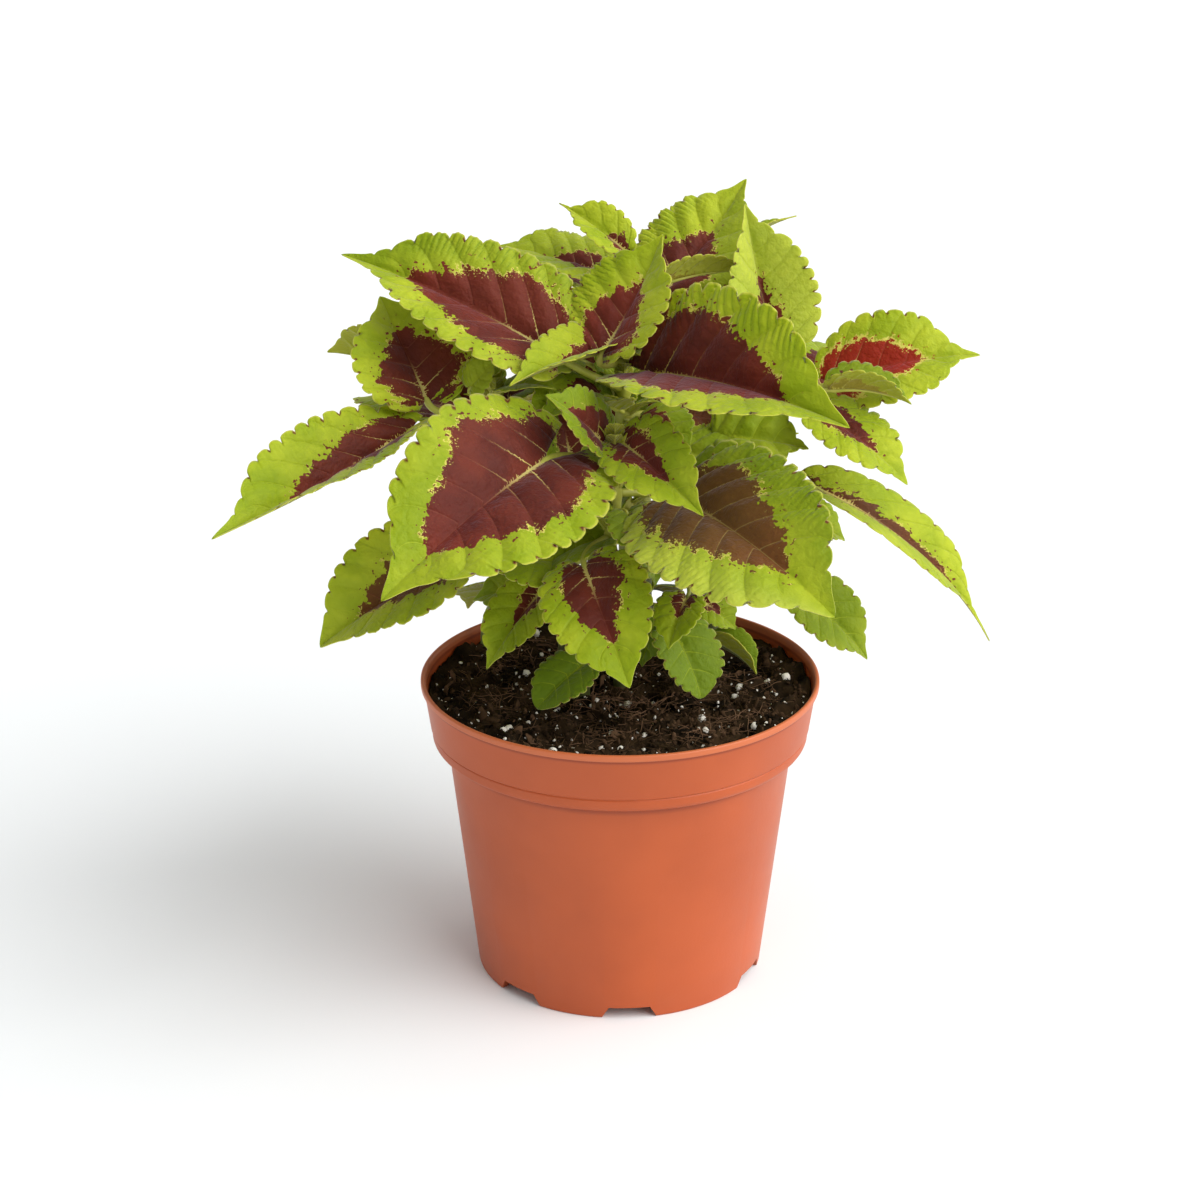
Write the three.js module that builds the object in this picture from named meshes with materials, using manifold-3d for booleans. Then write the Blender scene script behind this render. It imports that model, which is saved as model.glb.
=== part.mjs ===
// A coleus in a plastic nursery pot: the pot, the potting soil, and the leafy stems that stand in the soil.
// Millimetres, +Z up. The origin is on the pot's axis, in the plane of its foot. -Y is the front.
import * as THREE from "three";
import { mergeVertices } from "three/addons/utils/BufferGeometryUtils.js";
import Module from "manifold-3d";

const wasm = await Module();
wasm.setup();

// ---------------------------------------------------------------- driving dimensions

const potHeight = 101.3;
const rimRadius = 65; // outside of the lip
const footRadius = 47.2; // outside, at the foot
const wall = 1.5;
const bodyTop = 79.5; // the plain body ends here, under the collar
const bodyTopRadius = 56.6;
const collarFoot = 61.4; // radius of the collar's lower end
const collarHead = 64; // and just below the lip
const floorHeight = 5; // underside of the floor above the foot
const footWidth = 2.6; // width of the ring that the pot stands on
const potSides = 40;

const notchAngles = [-44, 4, 66, 125, 184, 246]; // measured from the front, towards the right
const notchHeight = 4;
const notchFoot = 18; // width at the foot
const notchHead = 13.4; // width at the top
const drainRadius = 4;
const drainCircle = 37;

const soilLevel = 93.2;
const soilBank = 4; // how much higher the soil stands at the wall
const soilFloor = 7;
const soilGap = 0.4; // clearance between the soil and what it touches
const stemRoot = 74; // the stems reach down to here in the soil

const bladeThickness = 0.8;

// ---------------------------------------------------------------- the leafy stems

// Each stem: the points of its centre line from root to growing tip, half its thickness at both ends,
// and its leaves. A leaf row is: name, height at which its petiole leaves the stem, base of the blade,
// point of the tip, flat width, and then whatever differs from the usual shape:
// roll: turn about the base-to-tip line, in degrees; 0 keeps the blade level from side to side
// fold: how far each half is raised at the midrib, in degrees; curl: how far it bends back down to the edge
// arch: bow of the midrib as a share of the length; belly: small for a broad base, large for an oval blade
// full: below 1 for an outline that stays wide for longer; lobe: how far the base reaches behind the petiole
const leaf = (name, height, base, tip, width, shape = {}) => ({
  name,
  height,
  base,
  tip,
  width,
  roll: 0,
  fold: 24,
  curl: 24,
  arch: 0.08,
  belly: 0.5,
  full: 1,
  lobe: 0.09,
  ...shape,
});

const stems = [
  {
    name: "center_stem",
    path: [[0, 6, stemRoot], [2, 9, 130], [1, 5, 175], [1, 0, 211]],
    thickness: [3.4, 1.4],
    leaves: [
      leaf("crown_upright", 208, [-5.5, -13, 214.6], [13, 0, 249], 38, { roll: 12, fold: 26, arch: -0.04 }),
      leaf("crown_front", 207, [-3, -5, 213], [-34, -36, 211], 23, { roll: -14, fold: 50, arch: 0.04 }),
      leaf("crown_right", 198, [8, -10, 207], [68, -60, 206], 58, {
        roll: 36,
        fold: 44,
        curl: 12,
        belly: 0.65,
        lobe: 0.16,
      }),
      leaf("crown_left", 198, [-20, -8, 212], [-88, 12, 239], 48.5, {
        roll: -31,
        fold: 34,
        arch: 0.05,
        belly: 0.3,
        lobe: 0.05,
      }),
      leaf("under_right", 178, [30, -8, 185], [59, -12, 183], 32, { roll: 35, fold: 22 }),
      leaf("under_right_inner", 188, [10, 6, 189], [40, 6, 184], 32, { roll: 35, fold: 22 }),
      leaf("under_left", 190, [-14, 4, 207], [-37, -2, 206], 22, { roll: -20 }),
      leaf("inner_front", 170, [2, -3, 164], [-13, -8, 145], 26, {}),
      leaf("inner_front_low", 156, [6, -2, 154], [11, -5, 134], 26, {}),
    ],
  },
  {
    name: "back_stem",
    path: [[6, 28, stemRoot], [8, 34, 140], [4, 32, 190], [2, 28, 229]],
    thickness: [3.2, 1.3],
    leaves: [
      leaf("top_small", 226, [1, 24, 237], [-20, 34, 250], 18, { roll: -30, fold: 40, arch: 0.05 }),
      leaf("top_left", 223, [-5, 30, 227.5], [-40, 42, 233.5], 32, { roll: -8, fold: 24, arch: 0.02 }),
      leaf("top_back", 220, [14, 36, 220], [41, 62, 251], 40, {
        roll: 14,
        fold: 20,
        arch: -0.04,
        belly: 0.36,
      }),
      leaf("top_folded", 222, [11, 19, 227], [43, 24, 230.5], 17, { roll: -40, fold: 30, arch: 0.06 }),
      leaf("top_right_point", 214, [34, 56, 226], [58, 64, 238], 9, { roll: -10, fold: 30 }),
      leaf("back_left_high", 216, [-8, 46, 218], [-46, 91, 206], 49, {}),
      leaf("back_right_high", 202, [14, 46, 200], [46, 92, 182], 49, {}),
      leaf("back_left_middle", 182, [-6, 48, 180], [-38, 92, 156], 47, {}),
      leaf("back_right_middle", 158, [18, 46, 156], [48, 88, 128], 44, {}),
      leaf("back_left_low", 142, [-6, 48, 138], [-34, 86, 112], 38, {}),
      leaf("back_lowest", 112, [8, 44, 114], [18, 62, 103], 20, {}),
    ],
  },
  {
    name: "left_stem",
    path: [[-19, 16, stemRoot], [-19, 15, 125], [-34, 7, 172], [-41, 1, 200]],
    thickness: [3, 1.3],
    leaves: [
      leaf("left_upright", 198, [-61, -6, 197], [-76, 10, 226], 45, { roll: -14, fold: 26, arch: 0.02 }),
      leaf("left_turned", 190, [-70, 18, 198], [-95, 28, 202], 34, { roll: 44 }),
      leaf("left_drooping", 194, [-66, -14, 189], [-122, -70, 174], 38, {
        roll: -15,
        fold: 43,
        curl: 8,
        arch: -0.02,
        belly: 0.7,
      }),
      leaf("left_low", 150, [-50, -8, 145], [-95, -26, 121], 42, { roll: -30, fold: 40, arch: 0.06 }),
      leaf("left_inner", 196, [-46, 8, 191], [-53, 18, 212], 24, {}),
      leaf("left_inner_small", 197, [-47, -6, 201], [-38, -8, 211], 12, { roll: 60 }),
      leaf("left_lowest", 128, [-24, 0, 131], [-48, 4, 125], 24, { roll: -20 }),
      leaf("left_back_high", 184, [-50, 18, 182], [-84, 66, 172], 44, { roll: -10 }),
      leaf("left_back_inner", 170, [-44, 14, 168], [-64, 46, 152], 34, {}),
      leaf("left_back_middle", 150, [-42, 22, 146], [-72, 66, 124], 40, { roll: -10 }),
      leaf("left_back_low", 128, [-34, 26, 122], [-52, 50, 104], 28, {}),
    ],
  },
  {
    name: "right_stem",
    path: [[24, 8, stemRoot], [34, 14, 130], [46, 14, 175], [53, 10, 202]],
    thickness: [3, 1.3],
    leaves: [
      leaf("right_upright", 201, [49, 14, 207], [39, 26, 252], 36, { roll: -15, fold: 42, arch: -0.02 }),
      leaf("right_level", 198, [67, 8, 198], [114, 10, 207], 36, { roll: 40, fold: 28, arch: 0.1 }),
      leaf("right_front", 194, [57, -8, 196], [89, -26, 176], 26, { roll: 14, fold: 18, belly: 0.75 }),
      leaf("right_drooping", 170, [63, -2, 166], [120, 0, 113], 26, {
        roll: 24,
        fold: 30,
        curl: 16,
        arch: 0.1,
        belly: 0.45,
      }),
      leaf("right_low", 128, [56, 24, 123], [82, 18, 99], 26, { roll: 30 }),
      leaf("right_inner", 148, [56, 26, 146], [74, 26, 138], 22, { roll: 20 }),
      leaf("right_back_high", 188, [62, 28, 188], [92, 74, 178], 44, { roll: 10 }),
      leaf("right_back_middle", 156, [44, 36, 150], [54, 84, 126], 38, {}),
      leaf("right_back_low", 128, [42, 32, 126], [62, 62, 106], 30, {}),
      leaf("low_right_small", 122, [26, -8, 130], [37, -10, 121], 15, { roll: 30 }),
      leaf("low_right_folded", 112, [30, -8, 116], [44, -14, 107], 16, { fold: 66, curl: 16 }),
    ],
  },
  {
    name: "front_stem",
    path: [[-13, 2, stemRoot], [-11, -6, 112], [-2, -24, 162], [-2, -32, 190]],
    thickness: [3, 1.2],
    leaves: [
      leaf("front_top_right", 188, [1, -34, 192], [25, -60, 178], 28, { roll: 36, fold: 39 }),
      leaf("front_top_left", 188, [-6, -34, 192], [-23, -38, 209], 24, { roll: -34, fold: 26 }),
      leaf("front_left", 182, [-23, -40.4, 188.8], [-70, -92, 163], 61, { roll: -32, fold: 26, lobe: 0.2 }),
      leaf("front_right", 174, [17, -27, 172], [63.5, -82.5, 154.5], 57, {
        roll: 30,
        fold: 20,
        arch: 0.1,
        full: 0.88,
      }),
      leaf("front_hanging", 158, [-11, -40, 154], [3, -72, 127], 35, { roll: 25, fold: 22, arch: 0.1 }),
      leaf("front_left_under", 160, [-17, -26, 150], [-44, -36, 153], 30, { roll: -40, fold: 30 }),
      leaf("low_front_small", 146, [21, -30, 140], [15, -44, 128], 17, {}),
      leaf("low_front_right", 130, [15.5, -24, 128], [25.5, -36, 108], 26, {}),
      leaf("low_front_inner", 128, [12, -14, 127], [7, -22, 113], 17, {}),
      leaf("low_front_left", 120, [-10, -30, 118], [-26, -42, 107], 19, { roll: -20 }),
      leaf("low_left_folded", 136, [-24, -18, 138], [-42, -34, 117], 22, { roll: -20, fold: 36 }),
    ],
  },
];

// ---------------------------------------------------------------- solids

const degrees = THREE.MathUtils.degToRad;
const vector = (p) => new THREE.Vector3(...p);

// A closed geometry from points and triangles.
const geometryOf = (points, triangles) => {
  const geometry = new THREE.BufferGeometry();
  geometry.setAttribute("position", new THREE.Float32BufferAttribute(points.flat(), 3));
  geometry.setIndex(triangles.flat());
  return geometry;
};

// A manifold solid from a closed geometry, and back.
const solid = (geometry) => {
  geometry.deleteAttribute("normal");
  geometry.deleteAttribute("uv");
  const merged = mergeVertices(geometry, 1e-4);
  const vertProperties = new Float32Array(merged.attributes.position.array);
  const triVerts = new Uint32Array(merged.index.array);
  return new wasm.Manifold(new wasm.Mesh({ numProp: 3, vertProperties, triVerts }));
};
const geometryFrom = (body) => {
  const mesh = body.getMesh();
  const geometry = new THREE.BufferGeometry();
  geometry.setAttribute("position", new THREE.BufferAttribute(mesh.vertProperties, 3));
  geometry.setIndex(new THREE.BufferAttribute(mesh.triVerts, 1));
  geometry.computeVertexNormals();
  return geometry;
};

// A rod along points, with its own half thickness at each and a closed cap at both ends.
const rod = (points, radii, sides) => {
  const rings = [];
  const triangles = [];
  let across = new THREE.Vector3(1, 0, 0);
  points.forEach((point, i) => {
    const before = points[Math.max(i - 1, 0)];
    const after = points[Math.min(i + 1, points.length - 1)];
    const along = after.clone().sub(before).normalize();
    across = across.clone().addScaledVector(along, -across.dot(along)).normalize();
    const third = new THREE.Vector3().crossVectors(along, across);
    for (let j = 0; j < sides; j++) {
      const turn = (2 * Math.PI * (j + 0.5)) / sides;
      const corner = point.clone().addScaledVector(across, radii[i] * Math.cos(turn));
      rings.push(corner.addScaledVector(third, radii[i] * Math.sin(turn)).toArray());
    }
  });
  for (let i = 0; i + 1 < points.length; i++) {
    for (let j = 0; j < sides; j++) {
      const a = i * sides + j;
      const b = i * sides + ((j + 1) % sides);
      triangles.push([a, b, b + sides], [a, b + sides, a + sides]);
    }
  }
  const last = (points.length - 1) * sides;
  for (let j = 1; j + 1 < sides; j++) {
    triangles.push([0, j + 1, j], [last, last + j, last + j + 1]);
  }
  return geometryOf(rings, triangles);
};

// ---------------------------------------------------------------- leaves

// The blade's frame: along the base-to-tip line, to the side, and up out of the upper face.
const bladeFrame = (row) => {
  const along = vector(row.tip).sub(vector(row.base));
  const length = along.length();
  along.divideScalar(length);
  const side = new THREE.Vector3(0, 0, 1).cross(along).normalize();
  side.applyAxisAngle(along, degrees(row.roll));
  const up = new THREE.Vector3().crossVectors(along, side);
  return { along, side, up, length };
};

// A point of the blade: x runs from 0 at the base to 1 at the tip, y is the flat distance from the midrib,
// and lift raises the point out of the upper face.
const bladePoint = (row, frame, x, y, lift) => {
  const { along, side, up, length } = frame;
  const bow = 4 * row.arch;
  const forward = Math.max(x, 0);
  const slope = bow * (1 - 2 * forward);
  const height = bow * forward * (1 - forward) + slope * Math.min(x, 0);
  const point = vector(row.base).addScaledVector(along, x * length).addScaledVector(up, height * length);
  const normal = up.clone().addScaledVector(along, -slope).normalize();
  const fold = degrees(row.fold);
  const bend = degrees(row.curl) / (row.width / 2);
  const angle = fold - bend * Math.abs(y);
  const outward = Math.sign(y);
  point.addScaledVector(side, (outward * (Math.sin(fold) - Math.sin(angle))) / bend);
  point.addScaledVector(normal, (Math.cos(angle) - Math.cos(fold)) / bend);
  point.addScaledVector(normal, lift * Math.cos(angle));
  return point.addScaledVector(side, -lift * outward * Math.sin(angle));
};

// The edge of one half, from u = 0 at the base to 1 at the tip: where it lies along the blade, and how far
// out. The base reaches a little behind the petiole, and the point is drawn out.
const tipPower = 0.8;
const edgeX = (row, u) => u - row.lobe * (1 - u);
const edgeY = (row, u) => {
  const t = (edgeX(row, u) + row.lobe + 0.01) / (row.lobe + 1.01);
  const widest = row.belly / (row.belly + tipPower);
  const peak = widest ** row.belly * (1 - widest) ** tipPower;
  const drawnOut = 1 - 0.45 * THREE.MathUtils.smoothstep(t, 0.75, 0.97);
  const outline = (t ** row.belly * (1 - t) ** tipPower) / peak;
  return (row.width / 2) * outline ** row.full * drawnOut;
};

// One leaf in a single skin: the blade, with rounded teeth along both edges and its two faces split alike,
// and the petiole, whose last ring is the blade's own base.
const toothDepth = 0.1; // of the local half width
const toothed = 0.86; // the share of the edge that has teeth
const teethFor = (length) => {
  if (length > 55) return 9;
  return length > 34 ? 7 : 5;
};
const leafSkin = (row, start) => {
  const frame = bladeFrame(row);
  const teeth = teethFor(frame.length);
  const thick = row.width > 35 ? 1.1 : 0.8; // half the petiole's thickness
  const flat = [];
  const upper = [];
  const put = (x, y) => flat.push([x, y]) - 1;
  const station = (i) => (toothed * i) / teeth;
  const roots = [put(0, -thick), put(0, thick)];
  const midrib = Array.from({ length: teeth }, (_, i) => put(station(i + 1), 0));
  const tip = put(1, 0);
  upper.push([roots[0], midrib[0], roots[1]]);
  const edges = roots.map((root, k) => {
    const half = k ? 1 : -1;
    const at = (u, share) => put(edgeX(row, u), half * share * edgeY(row, u));
    const notch = (i) => at(station(i), i === 0 ? 1 : 1 - toothDepth);
    const face = (...corners) => upper.push(half > 0 ? corners : corners.toReversed());
    const edge = [notch(0)];
    for (let i = 0; i < teeth; i++) {
      edge.push(at(station(i + 0.3), 1), at(station(i + 0.75), 1.03), notch(i + 1));
      const [from, first, second, to] = edge.slice(-4);
      const behind = i === 0 ? root : midrib[i - 1];
      face(behind, first, from);
      face(behind, second, first);
      face(behind, midrib[i], second);
      face(midrib[i], to, second);
    }
    face(midrib[teeth - 1], tip, edge.at(-1));
    return edge;
  });
  const count = flat.length;
  const side = (lift) => flat.map(([x, y]) => bladePoint(row, frame, x, y, lift).toArray());
  const points = [...side(bladeThickness / 2), ...side(-bladeThickness / 2)];
  const under = upper.map(([a, b, c]) => [a + count, c + count, b + count]);
  const rim = [roots[0], ...edges[0], tip, ...edges[1].toReversed(), roots[1]];
  const triangles = [...upper, ...under];
  rim.slice(1).forEach((q, i) => {
    const p = rim[i];
    triangles.push([p, p + count, q + count], [p, q + count, q]);
  });

  const base = vector(row.base);
  const heading = bladePoint(row, frame, 0.05, 0, 0).sub(base).normalize();
  const bend = base.clone().addScaledVector(heading, -0.45 * base.distanceTo(start));
  const line = new THREE.QuadraticBezierCurve3(start, bend, base);
  let across = frame.side;
  let ahead = [roots[1], roots[0], roots[0] + count, roots[1] + count];
  for (const share of [0.8, 0.55, 0.3, 0]) {
    const along = line.getTangent(share);
    across = across.clone().addScaledVector(along, -across.dot(along)).normalize();
    const above = new THREE.Vector3().crossVectors(along, across);
    const corner = (a, b) => {
      const point = line.getPoint(share).addScaledVector(across, a * thick);
      return points.push(point.addScaledVector(above, b * thick).toArray()) - 1;
    };
    const ring = [corner(1, 1), corner(-1, 1), corner(-1, -1), corner(1, -1)];
    ring.forEach((a, j) => {
      const b = ring[(j + 1) % 4];
      triangles.push([a, b, ahead[(j + 1) % 4]], [a, ahead[(j + 1) % 4], ahead[j]]);
    });
    ahead = ring;
  }
  triangles.push([ahead[0], ahead[2], ahead[1]], [ahead[0], ahead[3], ahead[2]]);
  return geometryOf(points, triangles);
};

const leafyStem = ({ name, path, thickness, leaves }) => {
  const line = path.map(vector);
  const curve = new THREE.CatmullRomCurve3(line);
  const samples = curve.getPoints(9);
  const radii = samples.map((_, i) => THREE.MathUtils.lerp(thickness[0], thickness[1], i / 9));
  const heightAt = (z) => {
    const i = Math.max(samples.findIndex((p) => p.z > z), 1);
    const [a, b] = [samples[i - 1], samples[i]];
    return a.clone().lerp(b, (z - a.z) / (b.z - a.z));
  };
  const pieces = [solid(rod(samples, radii, 4))];
  for (const row of leaves) pieces.push(solid(leafSkin(row, heightAt(row.height))));
  return { name, body: wasm.Manifold.union(pieces), samples, radii };
};

// ---------------------------------------------------------------- pot

const bodyRadius = (z) => THREE.MathUtils.lerp(footRadius, bodyTopRadius, z / bodyTop);
const floorTop = floorHeight + wall;
const potProfile = [
  [0, floorHeight],
  [footRadius - footWidth, floorHeight],
  [footRadius - footWidth, 0],
  [footRadius, 0],
  [bodyTopRadius, bodyTop],
  [collarFoot - 0.8, bodyTop + 0.7],
  [collarFoot, bodyTop + 1.6],
  [collarFoot + 0.1, bodyTop + 4.8],
  [collarFoot + 0.6, bodyTop + 5.4],
  [collarHead, potHeight - 2.5],
  [rimRadius - 0.3, potHeight - 2.2],
  [rimRadius, potHeight - 1.2],
  [rimRadius - 0.4, potHeight - 0.3],
  [rimRadius - 1.1, potHeight],
  [collarHead - wall + 0.2, potHeight - 0.8],
  [collarHead - wall, potHeight - 3],
  [collarFoot + 0.4 - wall, bodyTop + 4],
  [collarFoot - wall, bodyTop + 2.2],
  [bodyTopRadius - wall, bodyTop],
  [bodyRadius(floorTop) - wall, floorTop],
  [0, floorTop],
];

const polar = (angle, radius, z) => {
  const turn = degrees(angle);
  return [radius * Math.sin(turn), -radius * Math.cos(turn), z];
};

// A wedge that cuts one foot notch: wider at the foot, and open below.
const notchCutter = (angle) => {
  const shape = new THREE.Shape([
    new THREE.Vector2(-notchFoot / 2, -1),
    new THREE.Vector2(notchFoot / 2, -1),
    new THREE.Vector2(notchHead / 2, notchHeight),
    new THREE.Vector2(-notchHead / 2, notchHeight),
  ]);
  const depth = 8;
  const geometry = new THREE.ExtrudeGeometry(shape, { depth, bevelEnabled: false });
  geometry.rotateX(Math.PI / 2);
  geometry.translate(0, -footRadius + depth / 2 + 1, 0);
  return solid(geometry.rotateZ(degrees(angle)));
};

const drainCutter = (angle) => {
  const geometry = new THREE.CylinderGeometry(drainRadius, drainRadius, wall + 4, 12);
  geometry.rotateX(Math.PI / 2);
  return solid(geometry.translate(...polar(angle, drainCircle, floorHeight)));
};

const pot = () => {
  const profile = potProfile.map(([r, z]) => new THREE.Vector2(r, z));
  const lathe = new THREE.LatheGeometry(profile, potSides).rotateX(Math.PI / 2);
  const cutters = notchAngles.flatMap((angle) => [notchCutter(angle), drainCutter(angle)]);
  return solid(lathe).subtract(wasm.Manifold.union(cutters));
};

// ---------------------------------------------------------------- soil

// The soil's surface: lumpy, and pushed up towards the wall.
const soilRadius = collarHead - wall - 2 * soilGap;
const soilTop = (x, y) => {
  const r = Math.hypot(x, y) / soilRadius;
  const lumps = Math.sin(0.31 * x + 1.3) * Math.cos(0.27 * y) + 0.7 * Math.sin(0.53 * x - 0.47 * y);
  const crumbs = 0.6 * Math.sin(0.9 * x + 0.4) * Math.sin(1.1 * y + 2);
  return soilLevel + soilBank * r ** 4 + 0.7 * (lumps + crumbs) * (1 - r ** 6);
};

const soil = () => {
  const sides = 36;
  const points = [[0, 0, soilTop(0, 0)]];
  const triangles = [];
  const ring = (radius, height) => {
    for (let j = 0; j < sides; j++) {
      const [x, y] = polar((360 * j) / sides, radius, 0);
      points.push([x, y, height ?? soilTop(x, y)]);
    }
  };
  const rings = 9;
  for (let i = 1; i <= rings; i++) ring((soilRadius * i) / rings);
  ring(collarFoot - wall - soilGap, bodyTop + 3);
  ring(bodyTopRadius - wall - soilGap - 0.4, bodyTop);
  ring(bodyRadius(soilFloor) - wall - soilGap, soilFloor);
  const bottom = points.push([0, 0, soilFloor]) - 1;
  const at = (i, j) => 1 + i * sides + (j % sides);
  for (let j = 0; j < sides; j++) {
    triangles.push([0, at(0, j), at(0, j + 1)]);
    for (let i = 0; i < rings + 2; i++) {
      triangles.push([at(i, j), at(i + 1, j), at(i + 1, j + 1)], [at(i, j), at(i + 1, j + 1), at(i, j + 1)]);
    }
    triangles.push([bottom, at(rings + 2, j + 1), at(rings + 2, j)]);
  }
  return solid(geometryOf(points, triangles));
};

// The hole that one stem stands in: its own line, wider by the clearance and cut open above.
const stemHole = ({ samples, radii }) => {
  const low = samples.filter((p) => p.z < soilLevel + 25);
  const start = low[0].clone().sub(new THREE.Vector3(0, 0, soilGap));
  const wide = radii.slice(0, low.length).map((r) => r + 1.5 * soilGap);
  return solid(rod([start, ...low.slice(1)], wide, 4));
};

// ---------------------------------------------------------------- assembly

const plastic = new THREE.MeshStandardMaterial({ color: 0xc4633f, roughness: 0.5, metalness: 0 });
const peat = new THREE.MeshStandardMaterial({ color: 0x33241b, roughness: 1, metalness: 0 });
const foliage = new THREE.MeshStandardMaterial({ color: 0x8fb23a, roughness: 0.6, metalness: 0 });

const group = new THREE.Group();
const place = (name, body, material) => {
  const mesh = new THREE.Mesh(geometryFrom(body), material);
  mesh.name = name;
  group.add(mesh);
};

const grown = stems.map(leafyStem);
place("pot", pot(), plastic);
place("soil", soil().subtract(wasm.Manifold.union(grown.map(stemHole))), peat);
for (const { name, body } of grown) place(name, body, foliage);

export default group;
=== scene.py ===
import math

import bmesh
import bpy
import numpy as np
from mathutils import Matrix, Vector, noise


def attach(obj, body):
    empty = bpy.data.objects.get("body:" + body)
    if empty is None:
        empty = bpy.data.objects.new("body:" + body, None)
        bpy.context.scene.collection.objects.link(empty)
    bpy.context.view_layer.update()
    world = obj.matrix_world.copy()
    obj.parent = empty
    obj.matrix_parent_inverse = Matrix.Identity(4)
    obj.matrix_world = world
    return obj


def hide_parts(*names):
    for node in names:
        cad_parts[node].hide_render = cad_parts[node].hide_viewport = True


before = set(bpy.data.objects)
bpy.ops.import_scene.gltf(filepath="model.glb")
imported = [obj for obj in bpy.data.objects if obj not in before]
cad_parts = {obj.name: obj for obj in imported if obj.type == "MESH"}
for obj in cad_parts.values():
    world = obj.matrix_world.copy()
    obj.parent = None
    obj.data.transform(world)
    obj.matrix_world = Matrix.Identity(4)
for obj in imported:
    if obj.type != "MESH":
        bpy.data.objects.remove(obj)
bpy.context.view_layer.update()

mm = 0.001  # the tables below are in millimetres
up = np.array([0.0, 0.0, 1.0])
scene = bpy.context.scene


# ---- the plant: the same leaves as the frame, with what each one looks like

usualLeaf = {
    "roll": 0,
    "fold": 24,
    "curl": 24,
    "arch": 0.08,
    "belly": 0.5,
    "wide": 0,  # the dark centre, as a share of the blade's width, 0 for none
    "reach": 0.7,  # and as a share of its length
    "tone": 0.0,  # of the dark centre: -1 red, 0 maroon, 1 brown
    "deep": 0.1,  # of the border: -1 pale, 0 lime, 1 full green; partly the leaf's own colour, partly painted shade on leaves that lie in shadow, and below 0 partly painted light
    "uneven": 0.0,  # how much deeper the green is on the side after the midrib than on the other one: a painted shade on the half that lies in shadow
    "crinkle": 0.9,  # how strongly it is quilted
    "pleated": 0,  # 1 or -1 for the side whose border is pleated, 0 for both
    "teeth": 1.0,
    "tail": 0.3,  # 1 for a long drawn-out tip, -1 for a blunt one
    "full": 1.0,  # below 1 for a blade that stays wide for longer
    "lobe": 0.09,  # how far the base reaches behind the petiole
}


# height: where the petiole leaves the stem; base and tip: the ends of the blade. A stem has the path
# of its middle line, its radius at the foot and the tip, and its leaves and smaller shoots.
def leaf(name, height, base, tip, width, **look):
    row = {"name": name, "height": height, "base": base, "tip": tip, "width": width}
    return {**usualLeaf, **row, **look}


middleStem = {
    "node": "center_stem",
    "path": [[0, 6, 74], [2, 9, 130], [1, 5, 175], [1, 0, 211]],
    "thickness": [3.4, 1.4],
    "leaves": [
        leaf("crownUpright", 208, [-5.5, -13, 214.6], [13, 0, 249], 38, roll=12, fold=26, arch=-0.04,
             wide=0.62, reach=0.6, crinkle=1.6, pleated=1, tone=-0.2, deep=0, teeth=1.2),
        leaf("crownFront", 207, [-3, -5, 213], [-34, -36, 211], 23, roll=-14, fold=50, arch=0.04, wide=0.5,
             reach=0.5),
        leaf("crownRight", 198, [8, -10, 207], [68, -60, 206], 58, roll=36, fold=44, curl=12, belly=0.65,
             wide=0.82, reach=0.72, crinkle=1.6, pleated=1, tone=-0.05, deep=0, lobe=0.16, teeth=1.3),
        leaf("crownLeft", 198, [-20, -8, 212], [-88, 12, 239], 48.5, roll=-31, fold=34, arch=0.05,
             belly=0.3, wide=0.72, crinkle=1.5, pleated=-1, tone=-0.1, tail=0.5, lobe=0.05, uneven=-0.3),
        leaf("underRight", 178, [30, -8, 185], [59, -12, 183], 32, roll=35, fold=22, deep=0.3, crinkle=2.4,
             teeth=1.8, tail=0.6),
        leaf("underRightInner", 188, [10, 6, 189], [40, 6, 184], 32, roll=35, fold=22, wide=0.68, deep=0.4,
             tone=0.5),
        leaf("underLeft", 190, [-14, 4, 207], [-37, -2, 206], 22, roll=-20, deep=0.3),
        leaf("innerFront", 170, [2, -3, 164], [-13, -8, 145], 26, deep=0.6),
        leaf("innerFrontLow", 156, [6, -2, 154], [11, -5, 134], 26, deep=0.6),
    ],
    "shoots": [
        leaf("shootLeft", 192, [-7, -3, 197], [-30, -16, 193], 22, roll=-20, fold=30, deep=0.3, wide=0.6,
             reach=0.6),
        leaf("shootFront", 190, [-1, -6, 194], [-10, -22, 199], 17, fold=34, deep=0.25),
        leaf("shootRight", 188, [6, -6, 190], [22, -20, 184], 24, roll=20, fold=20, deep=0.4, wide=0.5,
             reach=0.6),
        leaf("shootLow", 176, [-3, -4, 178], [-24, -14, 172], 22, roll=-20, deep=0.5),
        leaf("shootBackdrop", 182, [-16, -17, 181], [-22, -10, 203], 22, roll=-6, wide=0.5, deep=0.5),
        leaf("shootUp", 190, [-2, 8, 193], [-7, 13, 212], 20, deep=0.6),
        leaf("shootLowest", 150, [6, 0, 152], [24, -12, 146], 24, roll=20, deep=0.6),
        leaf("shootUnderRight", 182, [16, -9, 181], [44, -22, 176], 30, roll=20, fold=16, deep=0.3,
             crinkle=1.4),
        leaf("shootUnderLeft", 172, [-10, -2, 172], [-34, -12, 160], 28, roll=-20, deep=0.45),
    ],
}
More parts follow.
